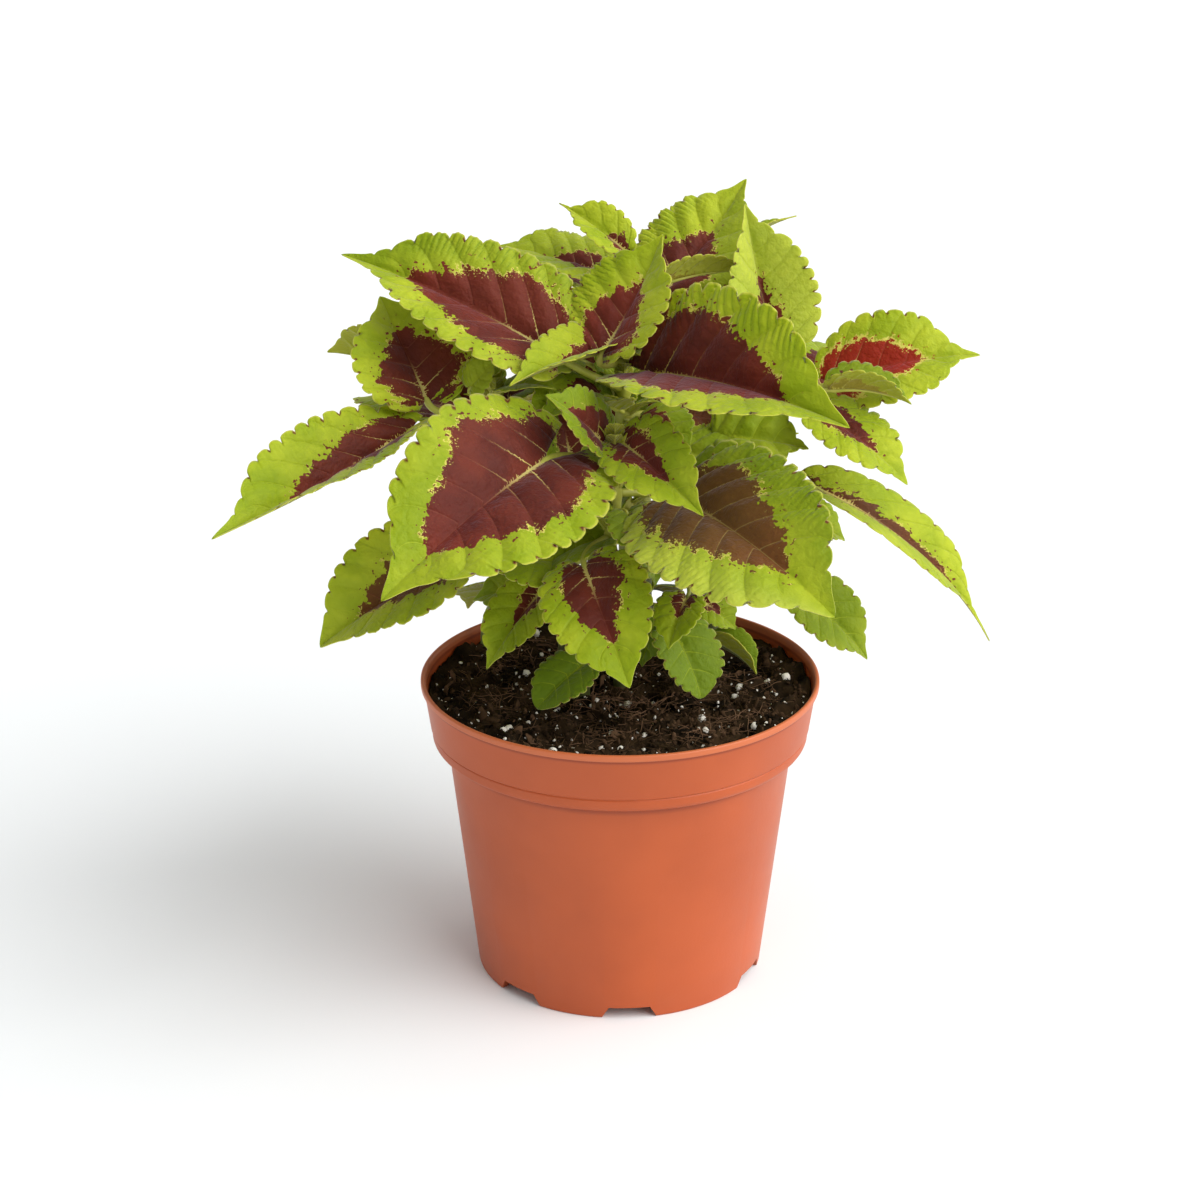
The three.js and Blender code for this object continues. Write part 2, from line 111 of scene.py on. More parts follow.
backStem = {
    "node": "back_stem",
    "path": [[6, 28, 74], [8, 34, 140], [4, 32, 190], [2, 28, 229]],
    "thickness": [3.2, 1.3],
    "leaves": [
        leaf("topSmall", 226, [1, 24, 237], [-20, 34, 250], 18, roll=-30, fold=40, arch=0.05, wide=0.4,
             reach=0.3, deep=0, tail=1),
        leaf("topLeft", 223, [-5, 30, 227.5], [-40, 42, 233.5], 32, roll=-8, arch=0.02, wide=0.42,
             reach=0.5, crinkle=1.4, deep=0.25),
        leaf("topBack", 220, [14, 36, 220], [41, 62, 251], 40, roll=14, fold=20, arch=-0.04, belly=0.36,
             wide=0.6, reach=0.56, crinkle=1.9, pleated=1, deep=0.05, uneven=-0.3),
        leaf("topFolded", 222, [11, 19, 227], [43, 24, 230.5], 17, roll=-40, fold=30, arch=0.06, wide=0.3,
             reach=0.4, deep=-1),
        leaf("topRightPoint", 214, [34, 56, 226], [58, 64, 238], 9, roll=-10, fold=30, tail=1),
        leaf("backLeftHigh", 216, [-8, 46, 218], [-46, 91, 206], 49, wide=0.68),
        leaf("backRightHigh", 202, [14, 46, 200], [46, 92, 182], 49, wide=0.68),
        leaf("backLeftMiddle", 182, [-6, 48, 180], [-38, 92, 156], 47, wide=0.68, deep=0.3),
        leaf("backRightMiddle", 158, [18, 46, 156], [48, 88, 128], 44, wide=0.68, deep=0.4),
        leaf("backLeftLow", 142, [-6, 48, 138], [-34, 86, 112], 38, wide=0.68, deep=0.5, tone=0.5),
        leaf("backLowest", 112, [8, 44, 114], [18, 62, 103], 20, deep=0.9),
    ],
    "shoots": [
        leaf("shootTopLeft", 214, [-3, 20, 215], [-22, 8, 218], 22, roll=-10, wide=0.68, deep=0.4),
        leaf("shootTopRight", 210, [8, 20, 212], [26, 10, 214], 22, roll=10, wide=0.68, deep=0.4),
        leaf("shootBehind", 178, [-8, 15, 181], [-10, 27, 214], 37, fold=8, curl=8, wide=0.5, tone=0.3,
             deep=0.6),
        leaf("shootBehindLow", 164, [5, 15, 166], [5, 22, 198], 25, fold=8, curl=8, deep=0.6),
    ],
}
leftStem = {
    "node": "left_stem",
    "path": [[-19, 16, 74], [-19, 15, 125], [-34, 7, 172], [-41, 1, 200]],
    "thickness": [3, 1.3],
    "leaves": [
        leaf("leftUpright", 198, [-61, -6, 197], [-76, 10, 226], 45, roll=-14, fold=26, arch=0.02,
             wide=0.74, reach=0.66, deep=-0.1),
        leaf("leftTurned", 190, [-70, 18, 198], [-95, 28, 202], 34, roll=44, deep=0.2),
        leaf("leftDrooping", 194, [-66, -14, 189], [-121.8, -70, 174], 38, roll=-15, fold=43, curl=8,
             arch=-0.02, belly=0.7, wide=0.5, reach=0.62, tail=0.5, deep=0.15),
        leaf("leftLow", 150, [-50, -8, 145], [-95, -26, 121], 42, roll=-30, fold=40, arch=0.06, tone=0.8,
             deep=-0.2, wide=0.6, tail=-0.2),
        leaf("leftInner", 196, [-46, 8, 191], [-53, 18, 212], 24, wide=0.68, deep=0.4),
        leaf("leftInnerSmall", 197, [-47, -6, 201], [-38, -8, 211], 12, roll=60),
        leaf("leftLowest", 128, [-24, 0, 131], [-48, 4, 125], 24, roll=-20, deep=0.3),
        leaf("leftBackHigh", 184, [-50, 18, 182], [-84, 66, 172], 44, roll=-10, wide=0.68),
        leaf("leftBackInner", 170, [-44, 14, 168], [-64, 46, 152], 34, wide=0.68, deep=0.3),
        leaf("leftBackMiddle", 150, [-42, 22, 146], [-72, 66, 124], 40, roll=-10, wide=0.68, deep=0.4),
        leaf("leftBackLow", 128, [-34, 26, 122], [-52, 50, 104], 28, deep=0.4),
    ],
    "shoots": [
        leaf("shootInner", 196, [-37, -2, 199], [-20, -14, 203], 18, roll=10, deep=0.3),
        leaf("shootBehind", 190, [-38, 8, 191], [-22, 12, 196], 22, wide=0.6, deep=0.4),
    ],
}
rightStem = {
    "node": "right_stem",
    "path": [[24, 8, 74], [34, 14, 130], [46, 14, 175], [53, 10, 202]],
    "thickness": [3, 1.3],
    "leaves": [
        leaf("rightUpright", 201, [49, 14, 207], [39, 26, 252], 36, roll=-15, fold=42, arch=-0.02, wide=0.3,
             reach=0.5, deep=-0.5, crinkle=0.8, teeth=1.2),
        leaf("rightLevel", 198, [67, 8, 198], [114, 10, 207], 36, roll=40, fold=28, arch=0.1, wide=0.62,
             reach=0.62, tone=-1, deep=-0.12, tail=0.7, crinkle=0.7),
        leaf("rightFront", 194, [57, -8, 196], [89, -26, 176], 26, roll=14, fold=18, belly=0.75, wide=0.42,
             deep=0, teeth=1.3),
        leaf("rightDrooping", 170, [63, -2, 166], [120, 0, 113], 26, roll=24, fold=30, curl=16, arch=0.1,
             belly=0.45, wide=0.27, reach=0.72, tone=0.5, deep=-0.1, crinkle=0.4, teeth=0.45, tail=1.1),
        leaf("rightLow", 128, [56, 24, 123], [82, 18, 99], 26, roll=30, deep=0.4),
        leaf("rightInner", 148, [56, 26, 146], [74, 26, 138], 22, roll=20, deep=0.2),
        leaf("rightBackHigh", 188, [62, 28, 188], [92, 74, 178], 44, roll=10, wide=0.68),
        leaf("rightBackMiddle", 156, [44, 36, 150], [54, 84, 126], 38, wide=0.68, deep=0.3),
        leaf("rightBackLow", 128, [42, 32, 126], [62, 62, 106], 30, deep=0.6, wide=0.5),
        leaf("lowRightSmall", 122, [26, -8, 130], [37, -10, 121], 15, roll=30, deep=0.3, wide=0.5,
             reach=0.5),
        leaf("lowRightFolded", 112, [30, -8, 116], [44, -14, 107], 16, fold=66, curl=16, deep=0.7,
             crinkle=0.6, teeth=0.5),
    ],
    "shoots": [
        leaf("shootHigh", 194, [47, 4, 196], [38, -10, 198], 18, deep=0.3),
        leaf("shootCurled", 196, [65.5, -11, 202], [90.5, -14, 198.3], 20, roll=-4, fold=58, wide=0.5,
             deep=0.5, teeth=1.2),
        leaf("shootMiddle", 168, [44, 8, 168], [40, -8, 162], 22, deep=0.5),
    ],
}
frontStem = {
    "node": "front_stem",
    "path": [[-13, 2, 74], [-11, -6, 112], [-2, -24, 162], [-2, -32, 190]],
    "thickness": [3, 1.2],
    "leaves": [
        leaf("frontTopRight", 188, [1, -34, 192], [25, -60, 178], 28, roll=36, fold=39, wide=0.52,
             reach=0.6, deep=0.2),
        leaf("frontTopLeft", 188, [-6, -34, 192], [-23, -38, 209], 24, roll=-34, fold=26, wide=0.66,
             reach=0.66, deep=0.45),
        leaf("frontLeft", 182, [-23, -40.4, 188.8], [-70, -92, 163], 61, roll=-32, fold=26, wide=0.76,
             reach=0.74, crinkle=1.3, pleated=1, deep=0.2, lobe=0.2),
        leaf("frontRight", 174, [17, -27, 172], [63.5, -82.5, 154.5], 57, roll=30, fold=20, arch=0.1,
             tone=1, wide=0.62, reach=0.74, deep=0, crinkle=1.15, tail=0.1, full=0.88, teeth=1.3,
             uneven=0.6),
        leaf("frontHanging", 158, [-11, -40, 154], [3, -72, 127], 35, roll=25, fold=22, arch=0.1, wide=0.6,
             reach=0.68, tail=0),
        leaf("frontLeftUnder", 160, [-17, -26, 150], [-44, -36, 153], 30, roll=-40, fold=30, deep=0.3),
        leaf("lowFrontSmall", 146, [21, -30, 140], [15, -44, 128], 17, deep=0.15, wide=0.5, reach=0.45),
        leaf("lowFrontRight", 130, [15.5, -24, 128], [25.5, -36, 108], 26, deep=0.7, crinkle=0.8, tail=-0.6,
             teeth=1.5),
        leaf("lowFrontInner", 128, [12, -14, 127], [7, -22, 113], 17, deep=0.8),
        leaf("lowFrontLeft", 120, [-10, -30, 118], [-26, -42, 107], 19, roll=-20, deep=0.85, crinkle=0.6,
             tail=-0.8),
        leaf("lowLeftFolded", 136, [-24, -18, 138], [-42, -34, 117], 22, roll=-20, fold=36, deep=0.15,
             wide=0.4, reach=0.5),
    ],
    "shoots": [
        leaf("shootMiddleLeft", 168, [-5, -24, 170], [-27, -28, 164], 24, roll=-20, deep=0.35),
        leaf("shootMiddleRight", 166, [2, -30, 168], [9, -43, 156], 22, deep=0.55),
        leaf("shootLowLeft", 158, [-4, -22, 157], [-28, -28, 146], 26, roll=-10, deep=0.4),
        leaf("shootLowRight", 156, [7, -22, 154], [28, -34, 146], 26, roll=10, deep=0.4),
    ],
}
plant = [middleStem, backStem, leftStem, rightStem, frontStem]


# ---- meshes from arrays: each skin is closed, and a piece joins many of them

# What the leaf material reads at each point. Place: along, across, number of the side vein. Flat:
# millimetres along and across, seed. Zone: millimetres inside the dark centre, pleat, number of the
# tooth. Kind: millimetres between side veins, tone, and how deep the green is, which is partly painted
# shade.
bladeLayers = ("bladePlace", "bladeFlat", "bladeZone", "bladeKind")


def newObject(name, data):
    made = bpy.data.objects.new(name, data)
    scene.collection.objects.link(made)
    return made


def skin(points, faces, values=None):
    if values is None:
        values = np.zeros((len(points), 3 * len(bladeLayers)))
    return {"points": points, "faces": faces, "values": values}


def meshFrom(name, skins, materials):
    points = np.concatenate([s["points"] for s in skins]) * mm
    values = np.concatenate([s["values"] for s in skins])
    corners, sizes, finishes = [], [], []
    first = 0
    for s in skins:
        for array, finish in s["faces"]:
            corners.append((array + first).ravel())
            sizes.append(np.full(len(array), array.shape[1]))
            finishes.append(np.full(len(array), finish))
        first += len(s["points"])
    corners, sizes, finishes = map(np.concatenate, (corners, sizes, finishes))
    mesh = bpy.data.meshes.new(name)
    mesh.vertices.add(len(points))
    mesh.vertices.foreach_set("co", points.ravel())
    mesh.loops.add(len(corners))
    mesh.loops.foreach_set("vertex_index", corners)
    mesh.polygons.add(len(sizes))
    mesh.polygons.foreach_set("loop_start", np.cumsum(sizes) - sizes)
    mesh.polygons.foreach_set("material_index", finishes)
    mesh.polygons.foreach_set("use_smooth", np.ones(len(sizes), bool))
    for i, label in enumerate(bladeLayers):
        attribute = mesh.attributes.new(label, "FLOAT_VECTOR", "POINT")
        attribute.data.foreach_set("vector", values[:, 3 * i : 3 * i + 3].ravel())
    mesh.update()
    mesh.validate()
    for material in materials:
        mesh.materials.append(material)
    return newObject(name, mesh)


# Four-sided faces between rows of points; a closed row comes back to its first point.
def wallFaces(rows, wide, closed=True):
    i, j = np.meshgrid(np.arange(rows - 1), np.arange(wide if closed else wide - 1), indexing="ij")
    a = (i * wide + j).ravel()
    b = (i * wide + (j + 1) % wide).ravel()
    return np.stack([a, a + wide, b + wide, b], 1)


# Triangles from a middle point to a ring of points, or the same ones seen from behind.
def fanFaces(middle, first, wide, behind=False):
    ring = first + np.arange(wide)
    after = np.roll(ring, -1)
    return np.stack([np.full(wide, middle), after if behind else ring, ring if behind else after], 1)


def smoothStep(value, low, high):
    t = np.clip((value - low) / (high - low), 0, 1)
    return t * t * (3 - 2 * t)


# A point of the curve from start to end that bends towards a third point.
def curved(start, bend, end, t):
    return (1 - t) ** 2 * start + 2 * t * (1 - t) * bend + t**2 * end


# A round tube along points, with its own radius at each; corners above 0 make its section squarer.
def tube(points, radii, sides=10, corners=0.0, finish=2):
    points = np.asarray(points, float)
    ahead = np.gradient(points, axis=0)
    ahead /= np.linalg.norm(ahead, axis=1)[:, None]
    turns = 2 * math.pi * (np.arange(sides) + 0.5) / sides
    shape = 1 + corners * np.cos(4 * turns)
    across = np.array([1.0, 0.0, 0.0]) if abs(ahead[0][0]) < 0.9 else np.array([0.0, 1.0, 0.0])
    rings = []
    for point, along, radius in zip(points, ahead, radii):
        across = across - along * across.dot(along)
        across /= np.linalg.norm(across)
        third = np.cross(along, across)
        offsets = np.outer(np.cos(turns) * shape, across) + np.outer(np.sin(turns) * shape, third)
        rings.append(point + radius * offsets)
    rings = np.concatenate(rings)
    ends = np.array([points[0] - ahead[0] * radii[0] * 0.3, points[-1] + ahead[-1] * radii[-1] * 0.6])
    walls = wallFaces(len(points), sides)[:, [0, 3, 2, 1]]
    foot = fanFaces(len(rings), 0, sides, behind=True)
    head = fanFaces(len(rings) + 1, len(rings) - sides, sides)
    return skin(np.concatenate([rings, ends]), [(walls, finish), (foot, finish), (head, finish)])


# ---- leaves

blade = {
    "tipPower": 0.8,
    "toothed": 0.9,  # share of the edge that has teeth
    "toothDepth": 0.38,  # as a share of a tooth's length
    "thickness": 0.5,
    "edgeThickness": 0.24,
    "laterals": 6,  # side veins on each half of a large leaf
    "veined": 0.94,  # share of the midrib that they leave from
    "sweep": 0.42,  # how far the side veins run forward on their way out
    "quilting": 0.022,  # bulge between two side veins, as a share of the width
    "pleats": 0.34,  # height of the folds at the border, about three to a tooth
    "ruffle": 0.022,
    "border": 0.25,  # narrowest lime border, as a share of the half width
    "cellAlong": 0.6,
    "cellAcross": 1.15,
}
farOutside = -30.0  # millimetres from a dark centre, where a leaf has none
patternSeeds = 97


def bladeAxes(row):
    along = np.subtract(row["tip"], row["base"]).astype(float)
    length = np.linalg.norm(along)
    along /= length
    level = np.cross(up, along)
    level /= np.linalg.norm(level)
    turn = math.radians(row["roll"])
    side = level * math.cos(turn) + np.cross(along, level) * math.sin(turn)
    return along, side, np.cross(along, side), length


# Points of the blade: x from 0 at the base to 1 at the tip, y the flat distance from the midrib,
# lift out of the upper face.
def bladePoints(row, x, y, lift):
    along, side, above, length = bladeAxes(row)
    bow = 4 * row["arch"]
    forward = np.maximum(x, 0)
    slope = bow * (1 - 2 * forward)
    height = bow * forward * (1 - forward) + slope * np.minimum(x, 0)
    normal = above - slope[..., None] * along
    normal /= np.linalg.norm(normal, axis=-1)[..., None]
    fold = math.radians(row["fold"])
    bend = math.radians(row["curl"]) / (row["width"] / 2)
    angle = fold - bend * np.abs(y)
    out = np.sign(y)
    spread = out * (math.sin(fold) - np.sin(angle)) / bend - lift * out * np.sin(angle)
    rise = (np.cos(angle) - math.cos(fold)) / bend + lift * np.cos(angle)
    points = np.asarray(row["base"], float) + (x * length)[..., None] * along
    points = points + (height * length)[..., None] * above
    return points + spread[..., None] * side + rise[..., None] * normal


def bladeEdge(row, length, u):
    x = u - row["lobe"] * (1 - u)
    t = np.clip((x + row["lobe"] + 0.01) / (row["lobe"] + 1.01), 0, 1)
    tail, blunt = max(row["tail"], 0), min(row["tail"], 0)
    belly, power = row["belly"], blade["tipPower"] + 0.25 * blunt
    widest = belly / (belly + power)
    peak = widest**belly * (1 - widest) ** power
    narrowing = 0.45 + 0.36 * tail + 0.45 * blunt
    drawnOut = 1 - narrowing * smoothStep(t, 0.75 - 0.12 * tail, 0.97 - 0.07 * tail)
    outline = np.clip(t**belly * (1 - t) ** power / peak, 0, 1) ** row["full"]
    return x * length, row["width"] / 2 * outline * drawnOut


# How far inside the dark centre each point lies, in millimetres (more in a small leaf, whose border is
# less ragged): a shield with its point to the tip, kept off the edge of the blade.
def centreField(row, half, length, x, y, away):
    if row["wide"] == 0:
        return np.full(x.shape, farOutside)
    t = np.clip(x / length / row["reach"], 0, 1)
    shield = np.where(t < 0.34, 0.6 + 0.4 * np.sqrt(t / 0.34), ((1 - t) / 0.66) ** 0.65)
    inside = row["wide"] * half * shield - np.abs(y)
    inside = np.minimum(inside, (row["reach"] - x / length) * length)
    border = blade["border"] * half * (0.5 + 0.5 * smoothStep(x / length, 0, 0.28))
    return np.minimum(inside, away - border) * max(1, 24 / half)


def leafSkin(row, seed):
    length = bladeAxes(row)[3]
    half = row["width"] / 2
    random = np.random.default_rng(seed)
    phase = random.uniform(0, 2 * math.pi, 8)
    teeth = max(5, round(5 + length / 9.5))
    toothed = blade["toothed"] + 0.08 * (max(row["teeth"], 1) - 1)
    perTooth = 2 * max(2, round(toothed * length / teeth / blade["cellAlong"] / 2))
    cuts = np.cumsum(random.uniform(0.82, 1.18, teeth) * np.linspace(1.1, 0.8, teeth))
    cuts = np.concatenate([[0], cuts]) / cuts[-1] * toothed
    steps = np.linspace(0, teeth, teeth * perTooth + 1)
    toothSteps = np.interp(steps, np.arange(teeth + 1), cuts)
    tipSteps = max(5, round((1 - toothed) * length / blade["cellAlong"] / 1.2))
    u = np.concatenate([toothSteps, np.linspace(toothed, 1, tipSteps + 1)[1:-1]])
    tooth = np.concatenate([steps, np.full(tipSteps - 1, float(teeth))])
    columns = max(5, round(half / blade["cellAcross"]))
    v = np.linspace(-1, 1, 2 * columns + 1)
    uu, vv = np.meshgrid(u, v, indexing="ij")
    ss = np.abs(vv)

    # the edge, and the teeth that stand out along its normal, out of step on the two sides
    edgeX, edgeY = bladeEdge(row, length, u)
    headingX, headingY = np.gradient(edgeX), np.gradient(edgeY)
    heading = np.hypot(headingX, headingY)
    tooth = tooth[:, None] + np.where(vv < 0, 0.5, 0)
    within = np.mod(tooth + 1e-6, 1) ** 1.15
    lobe = (1 - np.abs(2 * within - 1) ** 2.6) ** 0.55
    uneven = 1 + 0.25 * np.sin(2.1 * np.floor(tooth + 1e-6) + phase[7] + vv)
    fade = row["teeth"] * smoothStep(u, -0.03, 0.05) * (1 - 0.2 * smoothStep(u, 0.55, 0.84))
    fade *= 1 - smoothStep(u, toothed - 0.04, toothed)
    depth = blade["toothDepth"] * toothed * length / teeth * min(1, 0.6 + row["width"] / 80)
    stand = depth * fade[:, None] * uneven * (lobe - 0.8) * ss**5
    midrib = u * length
    x = midrib[:, None] + (edgeX - midrib)[:, None] * ss**1.4 - stand * (headingY / heading)[:, None]
    y = np.sign(vv) * (edgeY[:, None] * ss + stand * (np.abs(headingX) / heading)[:, None])

    # side veins run where the phase is whole; the blade bulges between them, more finely at the edge
    laterals = blade["laterals"] - (length < 50) - (length < 30)
    vein = laterals * (uu - blade["sweep"] * ss**1.2 * (1 - 0.5 * uu)) / blade["veined"]
    vein = vein + 0.14 * vv * np.sin(5 * uu + phase[0]) + 0.35 + np.where(vv < 0, 0.16, 0)
    between = np.sin(math.pi * np.mod(vein, 1)) ** 0.8
    patchy = 0.8 + 0.3 * np.sin(9 * uu + phase[1]) * np.sin(4 * vv + phase[2])
    settled = smoothStep(ss, 0.03, 0.25) * (1 - smoothStep(uu, 0.68, 0.9)) * smoothStep(uu, -0.02, 0.08)
    lift = blade["quilting"] * row["width"] * row["crinkle"] * between * patchy * settled
    lift *= np.where(vv * row["pleated"] < 0, 0.5, 1)
    pleat = np.sin(2 * math.pi * (2.7 * tooth - 1.9 * ss + 0.3 * np.sin(6 * uu + phase[3])))
    strong = smoothStep(ss, 0.35, 0.8) * (1 - smoothStep(uu, 0.66, 0.86)) * min(1, row["width"] / 40)
    pleat *= strong * max(row["crinkle"] - 0.65, 0.15) * (1.1 + 0.4 * np.sin(3 * uu + phase[4]))
    pleat *= np.where(vv * row["pleated"] < 0, 0.2, 1)
    lift += blade["pleats"] * pleat
    waves = np.sin(2 * math.pi * (1.4 * uu) + np.where(vv > 0, phase[5], phase[6]))
    calm = 1 - smoothStep(uu, 0.68, 0.92)
    lift += blade["ruffle"] * row["width"] * waves * ss**2.2 * calm * smoothStep(uu, 0, 0.15)
    lift -= 0.25 * np.exp(-((y / 0.8) ** 2)) * calm

    away = np.hypot(x[..., None] - edgeX[::2], np.abs(y)[..., None] - edgeY[::2]).min(-1)
    field = centreField(row, half, length, x, y, away)

    thick = blade["thickness"] + (blade["edgeThickness"] - blade["thickness"]) * ss**3
    upper = bladePoints(row, x / length, y, lift + thick / 2).reshape(-1, 3)
    lower = bladePoints(row, x / length, y, lift - thick / 2).reshape(-1, 3)
    end = bladePoints(row, np.array([1.0]), np.array([0.0]), np.array([0.0]))
    count = len(upper)
    tip = 2 * count
    wide = len(v)
    top = wallFaces(len(u), wide, closed=False)
    bottom = top[:, ::-1] + count
    rows = np.arange(len(u) - 1) * wide
    across = np.arange(wide - 1)
    rims = [np.stack([a, b, b + count, a + count], 1)
            for a, b in ((rows, rows + wide), (rows + wide - 1, rows + 2 * wide - 1), (across, across + 1))]
    left, right, back = rims[0][:, [0, 3, 2, 1]], rims[1], rims[2]
    last = (len(u) - 1) * wide + across
    tips = np.full(wide - 1, tip)
    topTip = np.stack([last, tips, last + 1], 1)
    bottomTip = np.stack([last + count, last + 1 + count, tips], 1)
    leftEnd, rightEnd = last[0], last[-1] + 1
    ends = np.array([[leftEnd, leftEnd + count, tip], [rightEnd, tip, rightEnd + count]])
    faces = [(top, 0), (bottom, 1), (left, 0), (right, 0), (back, 0)]
    faces += [(topTip, 0), (bottomTip, 1), (ends, 0)]

    same = np.ones_like(uu)
    layers = [uu, vv, vein, x, y, same * (seed % patternSeeds), field, pleat, tooth]
    layers += [same * blade["veined"] * length / laterals, same * row["tone"]]
    # the depth of the green at each point, with the painted shade of uneven on one half
    layers += [row["deep"] + row["uneven"] * vv]
    values = np.stack(layers, -1).reshape(-1, len(layers))
    final = values[-1].copy()
    final[:8] = [1, 0, laterals / blade["veined"], length, 0, seed % patternSeeds, farOutside, 0]
    values = np.concatenate([values, values, final[None]])
    return skin(np.concatenate([upper, lower, end]), faces, values)


# The petiole leaves the stem, meets the blade's base and goes on under it as the midrib.
def petiole(row, start):
    base = np.asarray(row["base"], float)
    u = np.array([0.05])
    heading = bladePoints(row, u, u * 0, u * 0)[0] - base
    heading /= np.linalg.norm(heading)
    bend = base - 0.45 * np.linalg.norm(base - start) * heading
    t = np.linspace(0, 1, 12)[:, None]
    stalk = curved(start, bend, base, t)
    thick = 0.7 + 0.45 * smoothStep(row["width"], 15, 45)
    stalkRadii = thick * (1.15 - 0.2 * t[:, 0])
    u = np.linspace(0.03, 0.86, 16)
    ribRadii = thick * (0.86 - 0.74 * u / 0.86)
    rib = bladePoints(row, u, u * 0, -0.2 - 0.85 * ribRadii)
    return tube(np.concatenate([stalk, rib]), np.concatenate([stalkRadii, ribRadii]))


# ---- stems

stemShape = {"sides": 16, "corners": 0.07, "knot": 0.28, "knotLength": 2.6, "rings": 20}
sideShoot = {
    "node": "left_stem",
    "path": [[-46, 37, 94], [-45.6, 36, 104], [-43, 34, 112], [-37, 28, 119], [-28, 18, 124]],
    "thickness": [1.2, 0.8],
}
youngLeaves = {
    "buds": 6,
    "budLength": 4.5,
    "axilFrom": 20,  # width of the narrowest leaf that has small leaves in its axil
    "axilLength": (7, 13),
}


def stemLine(path, count):
    points = np.asarray(path, float)
    points = np.concatenate([[2 * points[0] - points[1]], points, [2 * points[-1] - points[-2]]])
    line = []
    for k in range(1, len(points) - 2):
        p = points[k - 1 : k + 3]
        for t in np.arange(0, 1, 1 / count):
            line.append(0.5 * (2 * p[1] + (p[2] - p[0]) * t + (2 * p[0] - 5 * p[1] + 4 * p[2] - p[3]) * t**2
                               + (3 * p[1] - p[0] - 3 * p[2] + p[3]) * t**3))
    return np.array(line + [points[-2]])


def onLine(line, height):
    return np.array([np.interp(height, line[:, 2], line[:, k]) for k in range(3)])


def stemSkin(stem, line):
    radii = np.linspace(stem["thickness"][0], stem["thickness"][1], len(line)) * 0.95
    for row in stem["leaves"]:
        near = np.exp(-(((line[:, 2] - row["height"]) / stemShape["knotLength"]) ** 2))
        radii = np.maximum(radii, radii * (1 + stemShape["knot"] * near))
    return tube(line, radii, stemShape["sides"], stemShape["corners"])


# The unopened leaves round a growing tip.
def buds(top):
    rows = []
    for k in range(youngLeaves["buds"]):
        turn = math.radians(360 / youngLeaves["buds"] * k + 25)
        size = youngLeaves["budLength"] + 1.6 * (k % 3)
        out = np.array([math.cos(turn), math.sin(turn), 0])
        base = top + 0.6 * out - [0, 0, 1]
        tip = base + size * (0.55 * out + [0, 0, 0.9])
        rows.append(leaf("bud", top[2] - 2, base, tip, size * 0.5, fold=55, curl=20, arch=-0.06,
                         crinkle=0.5))
    return rows


# Two small leaves in the axil of every full-sized leaf, one on each side of its petiole.
def axilLeaves(stem, line, random):
    rows = []
    for row in stem["leaves"]:
        if row["width"] < youngLeaves["axilFrom"]:
            continue
        start = onLine(line, row["height"])
        out = math.atan2(row["base"][1] - start[1], row["base"][0] - start[0])
        for side in (-1, 1):
            size = random.uniform(*youngLeaves["axilLength"])
            turn = out + side * random.uniform(0.5, 1.1)
            aim = np.array([math.cos(turn), math.sin(turn), random.uniform(0.4, 1.3)])
            aim /= np.linalg.norm(aim)
            base = start + 2.5 * aim + [0, 0, 1]
            rows.append(leaf("axil", row["height"], base, base + size * aim, size * 0.55, fold=35,
                             deep=0.35, crinkle=0.6))
    return rows


def leafyStem(number, stem, materials):
    line = stemLine(stem["path"], stemShape["rings"])
    skins = [stemSkin(stem, line)]
    small = buds(line[-1]) + axilLeaves(stem, line, np.random.default_rng(number))
    for k, row in enumerate(stem["leaves"] + stem["shoots"] + small):
        seed = 100 * (number + 1) + k
        skins.append(leafSkin(row, seed))
        skins.append(petiole(row, onLine(line, row["height"])))
    if stem["node"] == sideShoot["node"]:
        shoot = stemLine(sideShoot["path"], 8)
        skins.append(tube(shoot, np.linspace(*sideShoot["thickness"], len(shoot)), finish=3))
    return meshFrom(stem["node"] + "_leafy", skins, materials)


# ---- the pot

potSize = {
    "height": 101.3,
    "rim": 65,
    "foot": 47.2,
    "wall": 1.5,
    "lipWall": 1.05,
    "bodyTop": 79.5,
    "bodyTopRadius": 56.6,
    "collarFoot": 61.4,
    "collarHead": 64,
    "floor": 5,
    "footWidth": 2.6,
    "notches": [-44, 4, 66, 125, 184, 246],
    "notchHeight": 4,
    "notchFoot": 18,
    "notchHead": 13.4,
    "drainRadius": 4,
    "drainCircle": 37,
    "segments": 216,
    "sharpFrom": 38,  # degrees between two faces whose edge looks sharp
}


# Rounds the corners of a profile: each corner gives way to an arc of a few points.
def roundedProfile(corners, steps=4):
    line = []
    for k, (r, z, radius) in enumerate(corners):
        here = np.array([r, z], float)
        if radius == 0 or k in (0, len(corners) - 1):
            line.append(here)
            continue
        before = np.array(corners[k - 1][:2], float) - here
        after = np.array(corners[k + 1][:2], float) - here
        cut = min(radius, 0.45 * np.linalg.norm(before), 0.45 * np.linalg.norm(after))
        start = here + cut * before / np.linalg.norm(before)
        end = here + cut * after / np.linalg.norm(after)
        line += [curved(start, here, end, t) for t in np.linspace(0, 1, steps)]
    return line


def fromShape(name, shape):
    mesh = bpy.data.meshes.new(name)
    shape.to_mesh(mesh)
    shape.free()
    return newObject(name, mesh)


